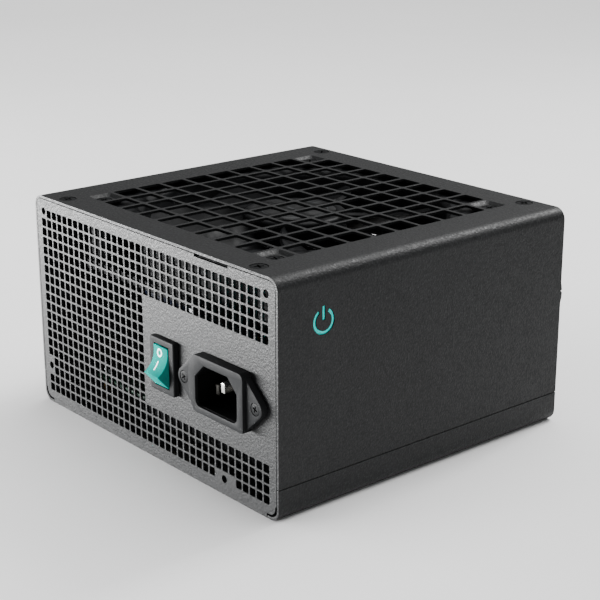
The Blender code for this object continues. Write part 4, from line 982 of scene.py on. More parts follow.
@dataclass
class EndPanel:
    """One end panel of the tray: its plate, the corners let in for the tray's folds, and its flanges."""

    node: str
    outward: int
    corner: float = 3.2 * MM
    case_half: float = 75.0 * MM
    case_fold: float = 4.5 * MM
    relief_width: float = 0.9 * MM
    relief_height: float = 5.6 * MM
    bend_depth: float = 3.2 * MM
    side_flange: float = 9.0 * MM
    top_flange: float = 11.0 * MM
    side_flange_low: float = 12.6 * MM
    side_flange_high: float = 75.0 * MM
    slot_middle: float = 39.4 * MM
    slot_length: float = 18.8 * MM
    slot_height: float = 0.9 * MM
    flange_end: float = 64.4 * MM

    def frame(self) -> tuple[Vector, Vector, float]:
        """Returns the node's corners and the place of the panel's outer face."""
        low, high = corners_of(self.node)
        return low, high, (low.y if self.outward < 0 else high.y)

    def slab(self, low_x: float, high_x: float, near: float, far: float, low_z: float, high_z: float) -> Form:
        """Returns a block that lies between two depths behind the outer face."""
        face = self.frame()[2]
        first, last = sorted((face - self.outward * near, face - self.outward * far))
        return Form.block((low_x, first, low_z), (high_x, last, high_z))

    def relief(self, side: int) -> Form:
        """Returns the cutter that clears the tray's fold at one bottom corner."""
        foot = self.case_half - SHEET - self.relief_width
        radius = self.case_fold - SHEET - self.relief_width / 2
        edge = self.case_half - self.case_fold - 2 * SHEET
        floor = SHEET + self.relief_width
        outside = self.case_half + SHEET
        corners = [(foot, floor), (foot, self.relief_height), (outside, self.relief_height),
                   (outside, -SHEET), (edge, -SHEET), (edge, floor)]
        face = self.frame()[2]
        return Form.plate([(side * x, z) for x, z in corners], Axis.Y, face - 2 * SHEET, face + 2 * SHEET,
                          [radius, 0.2 * MM, 0, 0, 0, 0], 8)

    def flanges(self) -> list[Form]:
        """Returns the bend at the foot and the flanges at the sides and the top."""
        low, high, _ = self.frame()
        edge = self.case_half - self.case_fold - 2 * SHEET
        left, right = self.slot_middle - self.slot_length / 2, self.slot_middle + self.slot_length / 2
        parts = [self.slab(-edge, edge, SHEET / 2, self.bend_depth, 0, SHEET),
                 self.slab(-self.flange_end, left, SHEET / 2, self.top_flange, high.z - SHEET, high.z),
                 self.slab(right, self.flange_end, SHEET / 2, self.top_flange, high.z - SHEET, high.z)]
        for wall in (low.x, high.x - SHEET):
            parts.append(self.slab(wall, wall + SHEET, SHEET / 2, self.side_flange, self.side_flange_low,
                                   self.side_flange_high))
        return parts

    def finish_panel(self, form: Form, cutters: Iterable[Form], fixings: Fixings) -> None:
        """Adds flanges, takes away the cut-outs and places the panel.

        Args:
            form: the flat plate.
            cutters: the panel's own cut-outs.
            fixings: the case's screws.
        """
        high = self.frame()[1]
        form.join(*self.flanges())
        left, right = self.slot_middle - self.slot_length / 2, self.slot_middle + self.slot_length / 2
        form.cut(self.slab(left, right, -SHEET, 2 * SHEET, high.z - self.slot_height, high.z + SHEET))
        form.cut(self.relief(1), self.relief(-1), *cutters)
        for number in range(1, 5):
            place = middle_of(f"cover_screw_{number}")
            if place.y * self.outward > 0:
                form.cut(fixings.seat_at(f"cover_screw_{number}", fixings.cover_head, fixings.cover_shank))
        place_piece(f"{self.node}_sheet", form, COATED_STEEL, Body.HOUSING, [self.node], soften=0.08 * MM)


@dataclass
class MainsPanel(EndPanel):
    """The panel on the mains side, punched with square vents."""

    pitch: float = 3.82 * MM
    hole: float = 2.85 * MM
    hole_round: float = 0.55 * MM
    columns: int = 37
    rows: int = 20
    first_x: float = -69.0 * MM
    top_z: float = 79.3 * MM
    mount_radius: float = 1.45 * MM
    mounts: tuple[Point3, ...] = ((-69 * MM, 80 * MM, 3 * MM), (69 * MM, 80 * MM, 3 * MM),
                                  (-69 * MM, 16 * MM, 3 * MM), (45 * MM, 6 * MM, 5.5 * MM))
    land_up: float = 3.0 * MM
    plain_left: float = -2.0 * MM
    plain_bottom: float = 20.0 * MM
    plain_top: float = 62.0 * MM

    def is_open(self, x: float, z: float) -> bool:
        """Tells whether there is a vent here: not on the plain land, and not round a mounting hole."""
        if x > self.plain_left and self.plain_bottom < z < self.plain_top:
            return False
        return all(abs(x - mx) > land or abs(z - mz) > self.land_up for mx, mz, land in self.mounts)

    def plate(self) -> Form:
        """Returns the vented plate, standing upright with its rounded outline."""
        low, high, face = self.frame()
        width, height = self.columns * self.pitch, self.rows * self.pitch
        left, top = self.first_x - self.pitch / 2, self.top_z + self.pitch / 2
        center = (left + width / 2, top - height / 2)
        bm, holes = vent_grid(self.columns, self.rows, self.pitch, center, self.hole, self.is_open)
        bmesh.ops.delete(bm, geom=holes, context="FACES")
        pull_edge(bm, 0, left, low.x)
        pull_edge(bm, 0, left + width, high.x)
        pull_edge(bm, 1, top - height, 0.0)
        pull_edge(bm, 1, top, high.z)
        thicken(bm, bm.faces[:][0], (0, 0, 1), SHEET)
        form = Form(bm)
        form.round_edges(is_upright(2, SHEET), self.hole_round, 3)

        def is_top_corner(edge: Edge) -> bool:
            """Tells whether an edge is one of the panel's two upper corners."""
            at_corner = all(v.co.y > high.z - TINY and abs(v.co.x) > high.x - TINY for v in edge.verts)
            through = abs(edge.verts[0].co.z - edge.verts[1].co.z) > SHEET / 2
            return at_corner and through and edge.is_convex and edge.calc_face_angle(0.0) > 1.0

        form.round_edges(is_top_corner, self.corner, 8)
        form.turn(90, "X")
        return form.move((0, face, 0))

    def build(self, fixings: Fixings, openings: Iterable[Form]) -> None:
        """Makes the panel with its mounting holes and the cut-outs for the switch and inlet."""
        face = self.frame()[2]
        holes = [Form.rod((x, z), self.mount_radius, Axis.Y, face - SHEET, face + 2 * SHEET, 32)
                 for x, z, _ in self.mounts]
        self.finish_panel(self.plate(), [*holes, *openings], fixings)


@dataclass
class CablePanel(EndPanel):
    """The panel on the cable side, with long vent slots and the hole for the bushing."""

    slot_width: float = 3.5 * MM
    slot_reach: float = 20.0 * MM
    slots: int = 10
    slot_pitch: float = 8.0 * MM
    slot_rows: tuple[float, ...] = (27.0 * MM, 55.0 * MM)
    slot_round: float = 0.98
    outlet_radius: float = 13.0 * MM

    def build(self, fixings: Fixings) -> None:
        """Makes the panel."""
        low, high, face = self.frame()
        bushing_low, bushing_high = corners_of("cable_bushing")
        outlet = ((bushing_low.x + bushing_high.x) / 2, (bushing_low.z + bushing_high.z) / 2)
        corners = [(low.x, 0), (high.x, 0), (high.x, high.z), (low.x, high.z)]
        form = Form.plate(corners, Axis.Y, face - SHEET, face, [0, 0, self.corner, self.corner], 8)
        cutters = [Form.rod(outlet, self.outlet_radius, Axis.Y, face - 2 * SHEET, face + SHEET, 64)]
        across, up = self.slot_width / 2, self.slot_reach / 2
        for z in self.slot_rows:
            for number in range(1, self.slots + 1):
                x = bushing_low.x - self.slot_pitch * number
                cutters.append(Form.plate(rectangle(x, z, across, up), Axis.Y, face - 2 * SHEET, face + SHEET,
                                          [across * self.slot_round] * 4, 5))
        self.finish_panel(form, cutters, fixings)


@dataclass
class Trim:
    """The coloured plate behind the mark, the rating film and the cable bushing."""

    bushing_bore: float = 11.0 * MM
    bushing_lip: float = 15.0 * MM
    bushing_neck: float = 12.7 * MM
    bushing_bead: float = 0.5 * MM
    bushing_soft: float = 1.1 * MM
    bushing_split: float = 0.8 * MM

    def build(self) -> None:
        """Makes and dresses the three pieces."""
        dress_node("badge_plate", CYAN_ABS)
        film = Form.copy_of("rating_label")
        film.round_edges(lambda e: abs(e.verts[0].co.x - e.verts[1].co.x) > 0.1 * MM, 2.5 * MM, 6)
        low, high = corners_of("rating_label")
        place_piece("rating_label_film", film, self.rating_finish(low, high), Body.HOUSING, ["rating_label"])
        self.build_bushing()

    def rating_finish(self, low: Vector, high: Vector) -> PrintedFilm:
        """Returns the film's finish with its bars fitted to the label."""
        half = ((high.y - low.y) / 2, (high.z - low.z) / 2)
        return replace(RATING_FILM, half=half)

    def build_bushing(self) -> None:
        """Makes the split bushing with a soft rounded lip and a snap bead."""
        low, high = corners_of("cable_bushing")
        middle = (low + high) / 2
        face = corners_of("rear_panel")[1].y
        proud, inner = high.y - face, low.y - face
        soft, neck, bead = self.bushing_soft, self.bushing_neck, self.bushing_bead
        profile = [(self.bushing_bore, inner), (neck - bead, inner), (neck + bead, -SHEET - 0.35 * MM),
                   (neck, -SHEET - 0.3 * MM), (neck, 0.3 * MM), (self.bushing_lip, 0.3 * MM)]
        profile += arc(self.bushing_lip - soft, proud - soft, soft, 0, 90, 6)
        profile += arc(self.bushing_bore + soft, proud - soft, soft, 90, 180, 4)
        ring = Form.turned(profile, 96).turn(-90, "X").move((middle.x, face, middle.z))
        half = self.bushing_split / 2
        ring.cut(Form.block((middle.x, low.y - SHEET, middle.z + half),
                            (high.x + SHEET, high.y + SHEET, middle.z + 3 * half)))
        place_piece("cable_bushing_split", ring, BLACK_NYLON_AND_SOCKET_SHADE, Body.HOUSING, ["cable_bushing"],
                    soften=0.1 * MM)


# ---------------------------------------------------------------------------------------------
# Mains side fittings
# ---------------------------------------------------------------------------------------------


@dataclass
class Inlet:
    """The mains inlet: a flange with two ears, a raised block round the socket, and three pins."""

    ear_apex: float = 25.18 * MM
    ear_round: float = 3.8 * MM
    ear_root: float = 9.1 * MM
    ear_proud: float = 2.8 * MM
    block_proud: float = 4.3 * MM
    block_half: Point2 = (15.25 * MM, 10.6 * MM)
    block_rise: float = 0.5 * MM
    left_cut: Point2 = (2.7 * MM, 4.8 * MM)
    socket_half: Point2 = (11.7 * MM, 7.9 * MM)
    socket_shift: Point2 = (0.3 * MM, 0.2 * MM)
    socket_chamfer: float = 5.0 * MM
    socket_round: float = 2.4 * MM
    socket_wall: float = 1.4 * MM
    socket_depth: float = 19.5 * MM
    socket_floor: float = 2.0 * MM
    seat_gap: float = 0.3 * MM
    pin_gap: float = 0.15 * MM
    skin: float = 0.02 * MM
    # How far inside the socket's wall the inner face of the painted-shade lining lies.
    shade_inset: float = 0.12 * MM
    screws: tuple[str, ...] = ("inlet_screw_1", "inlet_screw_2")
    pins: tuple[str, ...] = ("inlet_pin_live", "inlet_pin_neutral", "inlet_pin_earth")

    def center(self) -> Point2:
        """Returns the middle of the inlet in the panel's plane."""
        first, second = (middle_of(node) for node in self.screws)
        return ((first.x + second.x) / 2, (first.z + second.z) / 2)

    def place(self, points: Iterable[Point2]) -> list[Point2]:
        """Returns points given from the inlet's middle as points in the panel's plane."""
        x, z = self.center()
        return [(x + u, z + v) for u, v in points]

    def socket(self, grow: float, start: float, end: float) -> Form:
        """Returns the socket's shape, grown outwards by this much, between two depths."""
        across, up = self.socket_half[0] + grow, self.socket_half[1] + grow
        chamfer = self.socket_chamfer + grow * (2 - math.sqrt(2))
        shift = self.socket_shift
        points = [(across, -up), (across, up - chamfer), (across - chamfer, up), (chamfer - across, up),
                  (-across, up - chamfer), (-across, -up)]
        turn = self.socket_round + grow
        outline = self.place((x + shift[0], z + shift[1]) for x, z in points)
        return Form.plate(outline, Axis.Y, start, end, [turn, *[0.3 * MM] * 4, turn], 8)

    def screw_holes(self, fixings: Fixings) -> list[Form]:
        """Returns the cutters for the holes that the inlet's screws need in the panel."""
        face = corners_of("ac_panel")[0].y
        radius = fixings.inlet_shank + fixings.clearance
        return [Form.rod(middle_of(node).xz, radius, Axis.Y, face - SHEET, face + 2 * SHEET, 24)
                for node in self.screws]

    def build(self, fixings: Fixings) -> None:
        """Makes the housing, a thin lining of painted shade inside its socket, and the pins."""
        panel = corners_of("ac_panel")[0].y
        front = panel - self.block_proud
        floor = front + self.socket_depth
        apex, root, (half, up) = self.ear_apex, self.ear_root, self.block_half
        ears = [(-apex, 0), (-half, -root), (half, -root), (apex, 0), (half, root), (-half, root)]
        flange = Form.plate(self.place(ears), Axis.Y, panel - self.ear_proud, panel - self.seat_gap,
                            [self.ear_round, 0, 0, self.ear_round, 0, 0], 10)
        flange.round_edges(lies_before(panel - self.ear_proud), 0.25 * MM, 2)
        cut_x, cut_z = self.left_cut
        outline = [(-half + cut_x, -up), (half, -up), (half, up), (-half + cut_x, up), (-half, up - cut_z),
                   (-half, cut_z - up)]
        roundings = [reach * MM for reach in (1.2, 0.8, 2.2, 1.2, 1.0, 1.0)]
        block = Form.plate(self.place((x, z + self.block_rise) for x, z in outline), Axis.Y, front,
                           panel - self.seat_gap, roundings, 6)
        block.cut(self.socket(0.0, front - SHEET, floor))
        block.round_edges(lies_before(front), 0.3 * MM, 3)
        housing = flange.join(block, self.socket(self.socket_wall, panel - SHEET, floor + self.socket_floor))
        housing.cut(self.socket(self.skin, front + 0.5 * MM, floor))
        housing.cut(*(passage(node, self.pin_gap, floor - SHEET, floor + 3 * SHEET) for node in self.pins))
        for node in self.screws:
            seat = seat_cutter(fixings.inlet_head, fixings.inlet_shank, fixings.head_height,
                               fixings.clearance)
            housing.cut(seat.turn(90, "X").move(front_of(node)))
        place_piece("inlet_housing_moulded", housing, NYLON_HOUSING, Body.HOUSING, ["inlet_housing"])
        # Painted shade: a near-black sheet 0.1 mm thick lines the socket's walls and floor from 1.2 mm inside
        # its mouth, standing in for the shade in there.
        shade_liner = self.socket(-self.skin, front + 1.2 * MM, floor - self.skin)
        shade_liner.cut(self.socket(-self.shade_inset, front, floor - self.shade_inset))
        shade_liner.cut(*(passage(node, 0.1 * MM, floor - SHEET, floor + SHEET) for node in self.pins))
        place_piece("inlet_socket_painted_shade", shade_liner, BLACK_NYLON_AND_SOCKET_SHADE)
        self.build_pins()

    def build_pins(self) -> None:
        """Makes the three flat pins with coined tips."""

        def is_long(edge: Edge) -> bool:
            """Tells whether an edge is one of a pin's four long ones."""
            length = abs(edge.verts[0].co.y - edge.verts[1].co.y)
            return edge.is_manifold and edge.calc_face_angle(0.0) > 1.2 and length > 5 * MM

        for node in self.pins:
            low, high = corners_of(node)
            pin = Form.block(low, high).round_edges(lies_before(low.y), 0.45 * MM, 3)
            pin.round_edges(is_long, 0.2 * MM, 2)
            # The line pins get the dark colour as painted shade; the earth pin stays bright nickel.
            finish = NICKEL if node.endswith("earth") else LINE_PIN_SHADE
            place_piece(f"{node}_coined", pin, finish, Body.HOUSING, [node])


@dataclass
class Switch:
    """The rocker switch: housing with its bezel, the rocker with its printed marks, and the contacts."""

    bezel_proud: float = 2.5 * MM
    bezel_half: Point2 = (7.3 * MM, 10.2 * MM)
    bezel_round: float = 0.8 * MM
    body_half: Point2 = (6.4 * MM, 9.4 * MM)
    back_wall: float = 2.0 * MM
    rocker_half: float = 4.25 * MM
    rocker_radius: float = 8.35 * MM
    clearance: float = 0.3 * MM
    window_half: float = 4.5 * MM
    ridge_angle: float = 39.7
    foot_angle: float = 91.2
    tail_angle: float = 100.0
    tilt: float = 24.0
    valley: float = 1.75 * MM
    stub_radius: float = 1.0 * MM
    stub_reach: float = 5.15 * MM
    well_radius: float = 1.2 * MM
    mark_shift: float = -0.6 * MM
    ring_at: float = 3.1 * MM
    ring_half: Point2 = (1.5 * MM, 1.52 * MM)
    bar_span: Point2 = (-3.35 * MM, 0.05 * MM)
    stroke: float = 0.62 * MM
    ink: float = 0.05 * MM

    def joint(self, name: str) -> Vector:
        """Returns a place on a joint's axis."""
        found = next(j for j in FRAME["record"]["behaviour"]["joints"] if j["name"] == name)
        return Vector(found["pos_m"])

    def cutout(self) -> Form:
        """Returns the cutter for the switch's place in the panel."""
        pivot = self.joint("rocker_tilt")
        panel = corners_of("ac_panel")[0].y
        across, up = self.body_half[0] + self.clearance, self.body_half[1] + self.clearance
        return Form.block((pivot.x - across, panel - SHEET, pivot.z - up),
                          (pivot.x + across, panel + 2 * SHEET, pivot.z + up))

    def build(self) -> None:
        """Makes every piece of the switch."""
        self.build_housing()
        self.build_rocker()
        refine_node("switch_plunger", BRIGHT_STEEL, Body.ROCKER, 0.2 * MM)
        refine_node("switch_contact_blade", COPPER_STRIP, Body.BLADE, 0.1 * MM)
        for number in (1, 2):
            refine_node(f"switch_terminal_{number}", NICKEL, Body.HOUSING, 0.15 * MM)

    def build_housing(self) -> None:
        """Makes the housing: a bezel with soft edges round the window, and the box behind the panel."""
        pivot = self.joint("rocker_tilt")
        panel = corners_of("ac_panel")[0].y
        front = panel - self.bezel_proud
        back = corners_of("switch_housing")[1].y
        bezel = Form.plate(rectangle(pivot.x, pivot.z, *self.bezel_half), Axis.Y, front,
                           panel - self.clearance, [self.bezel_round] * 4, 5)
        bezel.round_edges(lies_before(front), 0.55 * MM, 4)
        across, up = self.body_half
        body = Form.block((pivot.x - across, panel - SHEET, pivot.z - up),
                          (pivot.x + across, back, pivot.z + up))
        window = self.window_half
        blade_low, blade_high = corners_of("switch_contact_blade")
        sweep = Form.rod((pivot.y, pivot.z), self.rocker_radius + self.clearance, Axis.X, pivot.x - window,
                         pivot.x + window, 96)
        room_up = (blade_high.z - blade_low.z) / 2 + 1.2 * MM
        room = Form.block((pivot.x - window, pivot.y, pivot.z - room_up),
                          (pivot.x + window, back - self.back_wall, pivot.z + room_up))
        stub = self.stub_reach + self.clearance
        axle = Form.rod((pivot.y, pivot.z), self.stub_radius + 0.1 * MM, Axis.X, pivot.x - stub,
                        pivot.x + stub, 32)
        housing = bezel.join(body).cut(sweep, room, axle)
        for node in ("switch_terminal_1", "switch_terminal_2"):
            low, high = corners_of(node)
            housing.cut(passage(node, self.clearance, low.y - SHEET, high.y))
        place_piece("switch_housing_moulded", housing, NYLON_HOUSING, Body.HOUSING, ["switch_housing"])

    def valley_depth(self, height: float) -> float:
        """Returns how far the level rocker's face stands out of its axis at a height along it."""
        ridge = math.radians(self.ridge_angle)
        share = height / (self.rocker_radius * math.sin(ridge))
        return self.rocker_radius * math.cos(ridge) - self.valley * (1 - share * share)

    def build_rocker(self) -> None:
        """Makes the rocker: a hollowed face between two ridges, flat ends and its printed marks."""
        ridge = math.radians(self.ridge_angle)
        top = self.rocker_radius * math.sin(ridge)
        steps = 24
        heights = [top * (2 * step / steps - 1) for step in range(steps + 1)]
        outline = [(-self.valley_depth(height), height) for height in heights]
        radius = self.rocker_radius
        angles = (math.radians(self.foot_angle), math.radians(self.tail_angle))
        ends = [(-radius * math.cos(angle), radius * math.sin(angle)) for angle in angles]
        back = radius * 0.5
        outline += ends + [(back, back), (back, -back)] + [(y, -z) for y, z in reversed(ends)]
        roundings = [0.0] * len(outline)
        roundings[0] = roundings[steps] = roundings[steps + 1] = roundings[-1] = 0.3 * MM
        body = Form.plate(outline, Axis.X, -self.rocker_half, self.rocker_half, roundings, 4)

        def is_rim(edge: Edge) -> bool:
            """Tells whether an edge lies in one of the rocker's two flat sides."""
            first, second = (vert.co.x for vert in edge.verts)
            return (abs(abs(first) - self.rocker_half) < TINY and abs(abs(second) - self.rocker_half) < TINY
                    and abs(first - second) < TINY)

        body.round_edges(is_rim, 0.14 * MM, 2)
        body.join(Form.rod((0, 0), self.stub_radius, Axis.X, -self.stub_reach, self.stub_reach, 32))
        body.cut(Form.rod((0, 0), self.well_radius, Axis.Y, radius * 0.25, radius, 24))
        pivot = self.joint("rocker_tilt")
        body.turn(-self.tilt, "X").move(pivot)
        place_piece("switch_rocker_moulded", body, TEAL_PC, Body.ROCKER, ["switch_rocker"], smooth_angle=25.0)
        self.build_marks(pivot)

    def build_marks(self, pivot: Vector) -> None:
        """Prints the ring for off and the bar for on, as thin ink laid on the hollowed face."""
        wide, tall = self.ring_half
        ring = Form()
        bmesh.ops.create_circle(ring.bm, radius=1.0, segments=48)
        made = bmesh.ops.extrude_edge_only(ring.bm, edges=ring.bm.edges[:])
        inner = set(new_verts(made))
        for vert in ring.bm.verts:
            edge = self.stroke if vert in inner else 0.0
            vert.co.x *= wide - edge
            vert.co.y = vert.co.y * (tall - edge) + self.ring_at
        bar = Form()
        bmesh.ops.create_grid(bar.bm, x_segments=1, y_segments=8, size=0.5)
        low, high = self.bar_span
        bmesh.ops.scale(bar.bm, vec=(self.stroke, high - low, 1), verts=bar.bm.verts)
        bar.move((0, (low + high) / 2, 0))
        for name, mark in (("switch_mark_off", ring), ("switch_mark_on", bar)):
            for vert in mark.bm.verts:
                across, height = vert.co.x + self.mark_shift, vert.co.y
                vert.co = Vector((across, -self.valley_depth(height) - self.ink, height))
            thicken(mark.bm, mark.bm.faces[:][0], (0, -1, 0), self.ink * 2)
            mark.turn(-self.tilt, "X").move(pivot)
            place_piece(name, mark, PAD_INK, Body.ROCKER)


# ---------------------------------------------------------------------------------------------
# Fan
# ---------------------------------------------------------------------------------------------


@dataclass
class Fan:
    """The intake fan: square frame, turning hub with swept blades, and its motor."""

    duct_radius: float = 58.0 * MM
    duct_wall: float = 1.8 * MM
    flange: float = 3.5 * MM
    frame_corner: float = 6.0 * MM
    lug_radius: float = 6.0 * MM
    screw_hole: float = 1.25 * MM
    base_radius: float = 20.5 * MM
    base_thickness: float = 2.7 * MM
    strut_width: float = 6.0 * MM
    tube_radius: float = 4.6 * MM
    tube_bore: float = 3.2 * MM
    hub_radius: float = 20.0 * MM
    hub_wall: float = 1.4 * MM
    hub_edge: float = 1.6 * MM
    blades: int = 7
    blade_tip: float = 56.5 * MM
    blade_drop: float = 16.5 * MM
    blade_thickness: float = 1.3 * MM
    blade_sweep: Point2 = (12, 1.3)
    blade_chord: Point2 = (50, 4)
    chord_trim: Point2 = (0.10, 6)
    drop_loss: float = 0.22
    drop_power: float = 0.82
    blade_start: float = 1.2 * MM
    blade_fall: float = 1.6 * MM
    bell: float = 2.2 * MM

    def build(self) -> None:
        """Makes every piece of the fan."""
        self.build_frame()
        self.build_impeller()
        self.build_motor()

    def build_frame(self) -> None:
        """Makes the frame with its duct, lugs, struts and motor base."""
        low, high = corners_of("fan_frame")
        side = high.x
        square = rectangle(0, 0, side, side)
        rounds = [self.frame_corner] * 4
        frame = Form.plate(square, Axis.Z, low.z, low.z + self.flange, rounds, 8)
        frame.join(Form.plate(square, Axis.Z, high.z - self.flange, high.z, rounds, 8),
                   Form.rod((0, 0), self.duct_radius + self.duct_wall, Axis.Z, low.z + SHEET,
                            high.z - SHEET, 96))
        lugs = [middle_of(f"fan_screw_{i}") for i in range(1, 5)]
        for at in lugs:
            frame.join(Form.rod(at.xy, self.lug_radius, Axis.Z, low.z + SHEET, high.z - SHEET, 32))
        bell, duct = self.bell, self.duct_radius
        profile = [(0, low.z - SHEET), (duct + bell, low.z - SHEET), (duct + bell, low.z),
                   (duct, low.z + bell), (duct, high.z - bell), (duct + bell * 0.3, high.z - bell * 0.45),
                   (duct + bell, high.z), (duct + bell, high.z + SHEET), (0, high.z + SHEET)]
        frame.cut(Form.turned(profile, 128))
        base_top = low.z + self.base_thickness
        reach, half = duct + self.duct_wall / 2, self.strut_width / 2
        for turn in (45, 135):
            strut = Form.block((-reach, -half, low.z), (reach, half, base_top - 0.3 * MM))
            frame.join(strut.round_sharp(0.6 * MM, 3).turn(turn, "Z"))
        tube_top = corners_of("fan_bearing")[1].z + SHEET
        base = Form.rod((0, 0), self.base_radius, Axis.Z, low.z, base_top, 64).round_sharp(0.5 * MM, 3)
        frame.join(base, Form.rod((0, 0), self.tube_radius, Axis.Z, low.z + SHEET, tube_top, 48))
        frame.cut(Form.rod((0, 0), self.tube_bore, Axis.Z, low.z + SHEET, high.z, 48))
        for at in lugs:
            frame.cut(Form.rod(at.xy, self.screw_hole, Axis.Z, low.z - SHEET, high.z + SHEET, 24))
        place_piece("fan_frame_moulded", frame, FAN_PBT, Body.HOUSING, ["fan_frame"], soften=0.2 * MM)

    def blade(self, hub_top: float) -> Form:
        """Returns one blade: swept forward and twisted."""
        form = Form()
        spans, chords = 16, 10
        bmesh.ops.create_grid(form.bm, x_segments=spans, y_segments=chords, size=0.5)
        root = self.hub_radius - self.hub_wall / 2
        for vert in form.bm.verts:
            share, along = vert.co.x + 0.5, vert.co.y + 0.5
            radius = root + (self.blade_tip - root) * share
            trim = 1.0 - self.chord_trim[0] * share ** self.chord_trim[1]
            chord = self.blade_chord[0] - self.blade_chord[1] * share
            sweep = self.blade_sweep[0] * share ** self.blade_sweep[1]
            angle = math.radians(sweep + chord * (0.5 + (along - 0.5) * trim))
            drop = self.blade_drop * (1 - self.drop_loss * share) * along ** self.drop_power
            height = hub_top - self.blade_start - self.blade_fall * share - drop
            vert.co = Vector((radius * math.cos(angle), radius * math.sin(angle), height))
        thicken(form.bm, form.bm.faces[:][0], (0, 0, 1), self.blade_thickness)
        return form

    def build_impeller(self) -> None:
        """Makes the hub with its blades, and its foil disc."""
        low, high = corners_of("fan_impeller")
        top = high.z
        edge = self.hub_edge
        profile = [(0, top - 0.25 * MM), (self.hub_radius - 3.9 * MM, top - 0.25 * MM),
                   (self.hub_radius - 3.6 * MM, top)]
        profile += arc(self.hub_radius - edge, top - edge, edge, 90, 0, 6)
        inner = self.hub_radius - self.hub_wall
        profile += [(self.hub_radius, low.z), (inner, low.z), (inner, top - self.hub_wall),
                    (0, top - self.hub_wall)]
        hub = Form.turned(profile, 96)
        for number in range(self.blades):
            hub.join(self.blade(top).turn(360 / self.blades * number, "Z"))
        place_piece("fan_impeller_moulded", hub, FAN_PBT, Body.ROTOR, ["fan_impeller"], smooth_angle=40.0)
        disc_low, disc_high = corners_of("fan_hub_label")
        radius = disc_high.x
        thick = disc_high.z - disc_low.z
        disc = [(0, 0), (radius, 0), (radius, thick * 0.6), (radius - thick, thick), (0, thick)]
        foil = Form.turned(disc, 96).move((0, 0, disc_low.z))
        place_piece("fan_hub_foil", foil, HUB_FOIL, Body.ROTOR, ["fan_hub_label"])

    def build_motor(self) -> None:
        """Makes the shaft, bearing, magnet ring and the wound stator."""
        soft = 0.2 * MM
        for node, finish, body, wall in (("fan_shaft", BRIGHT_STEEL, Body.ROTOR, None),
                                         ("fan_magnet_ring", FERRITE, Body.ROTOR, 1.8 * MM),
                                         ("fan_bearing", BRASS, Body.HOUSING, 1.1 * MM)):
            low, high = corners_of(node)
            inner = high.x - wall if wall else 0.0
            profile = [(inner, low.z), (high.x - soft, low.z), (high.x, low.z + soft),
                       (high.x, high.z - soft), (high.x - soft, high.z), (inner, high.z)]
            place_piece(f"{node}_turned", Form.turned(profile, 48), finish, body, [node])
        refine_node("fan_stator", COPPER_WIRE, Body.HOUSING, 0.5 * MM)


# ---------------------------------------------------------------------------------------------
# Power board
# ---------------------------------------------------------------------------------------------


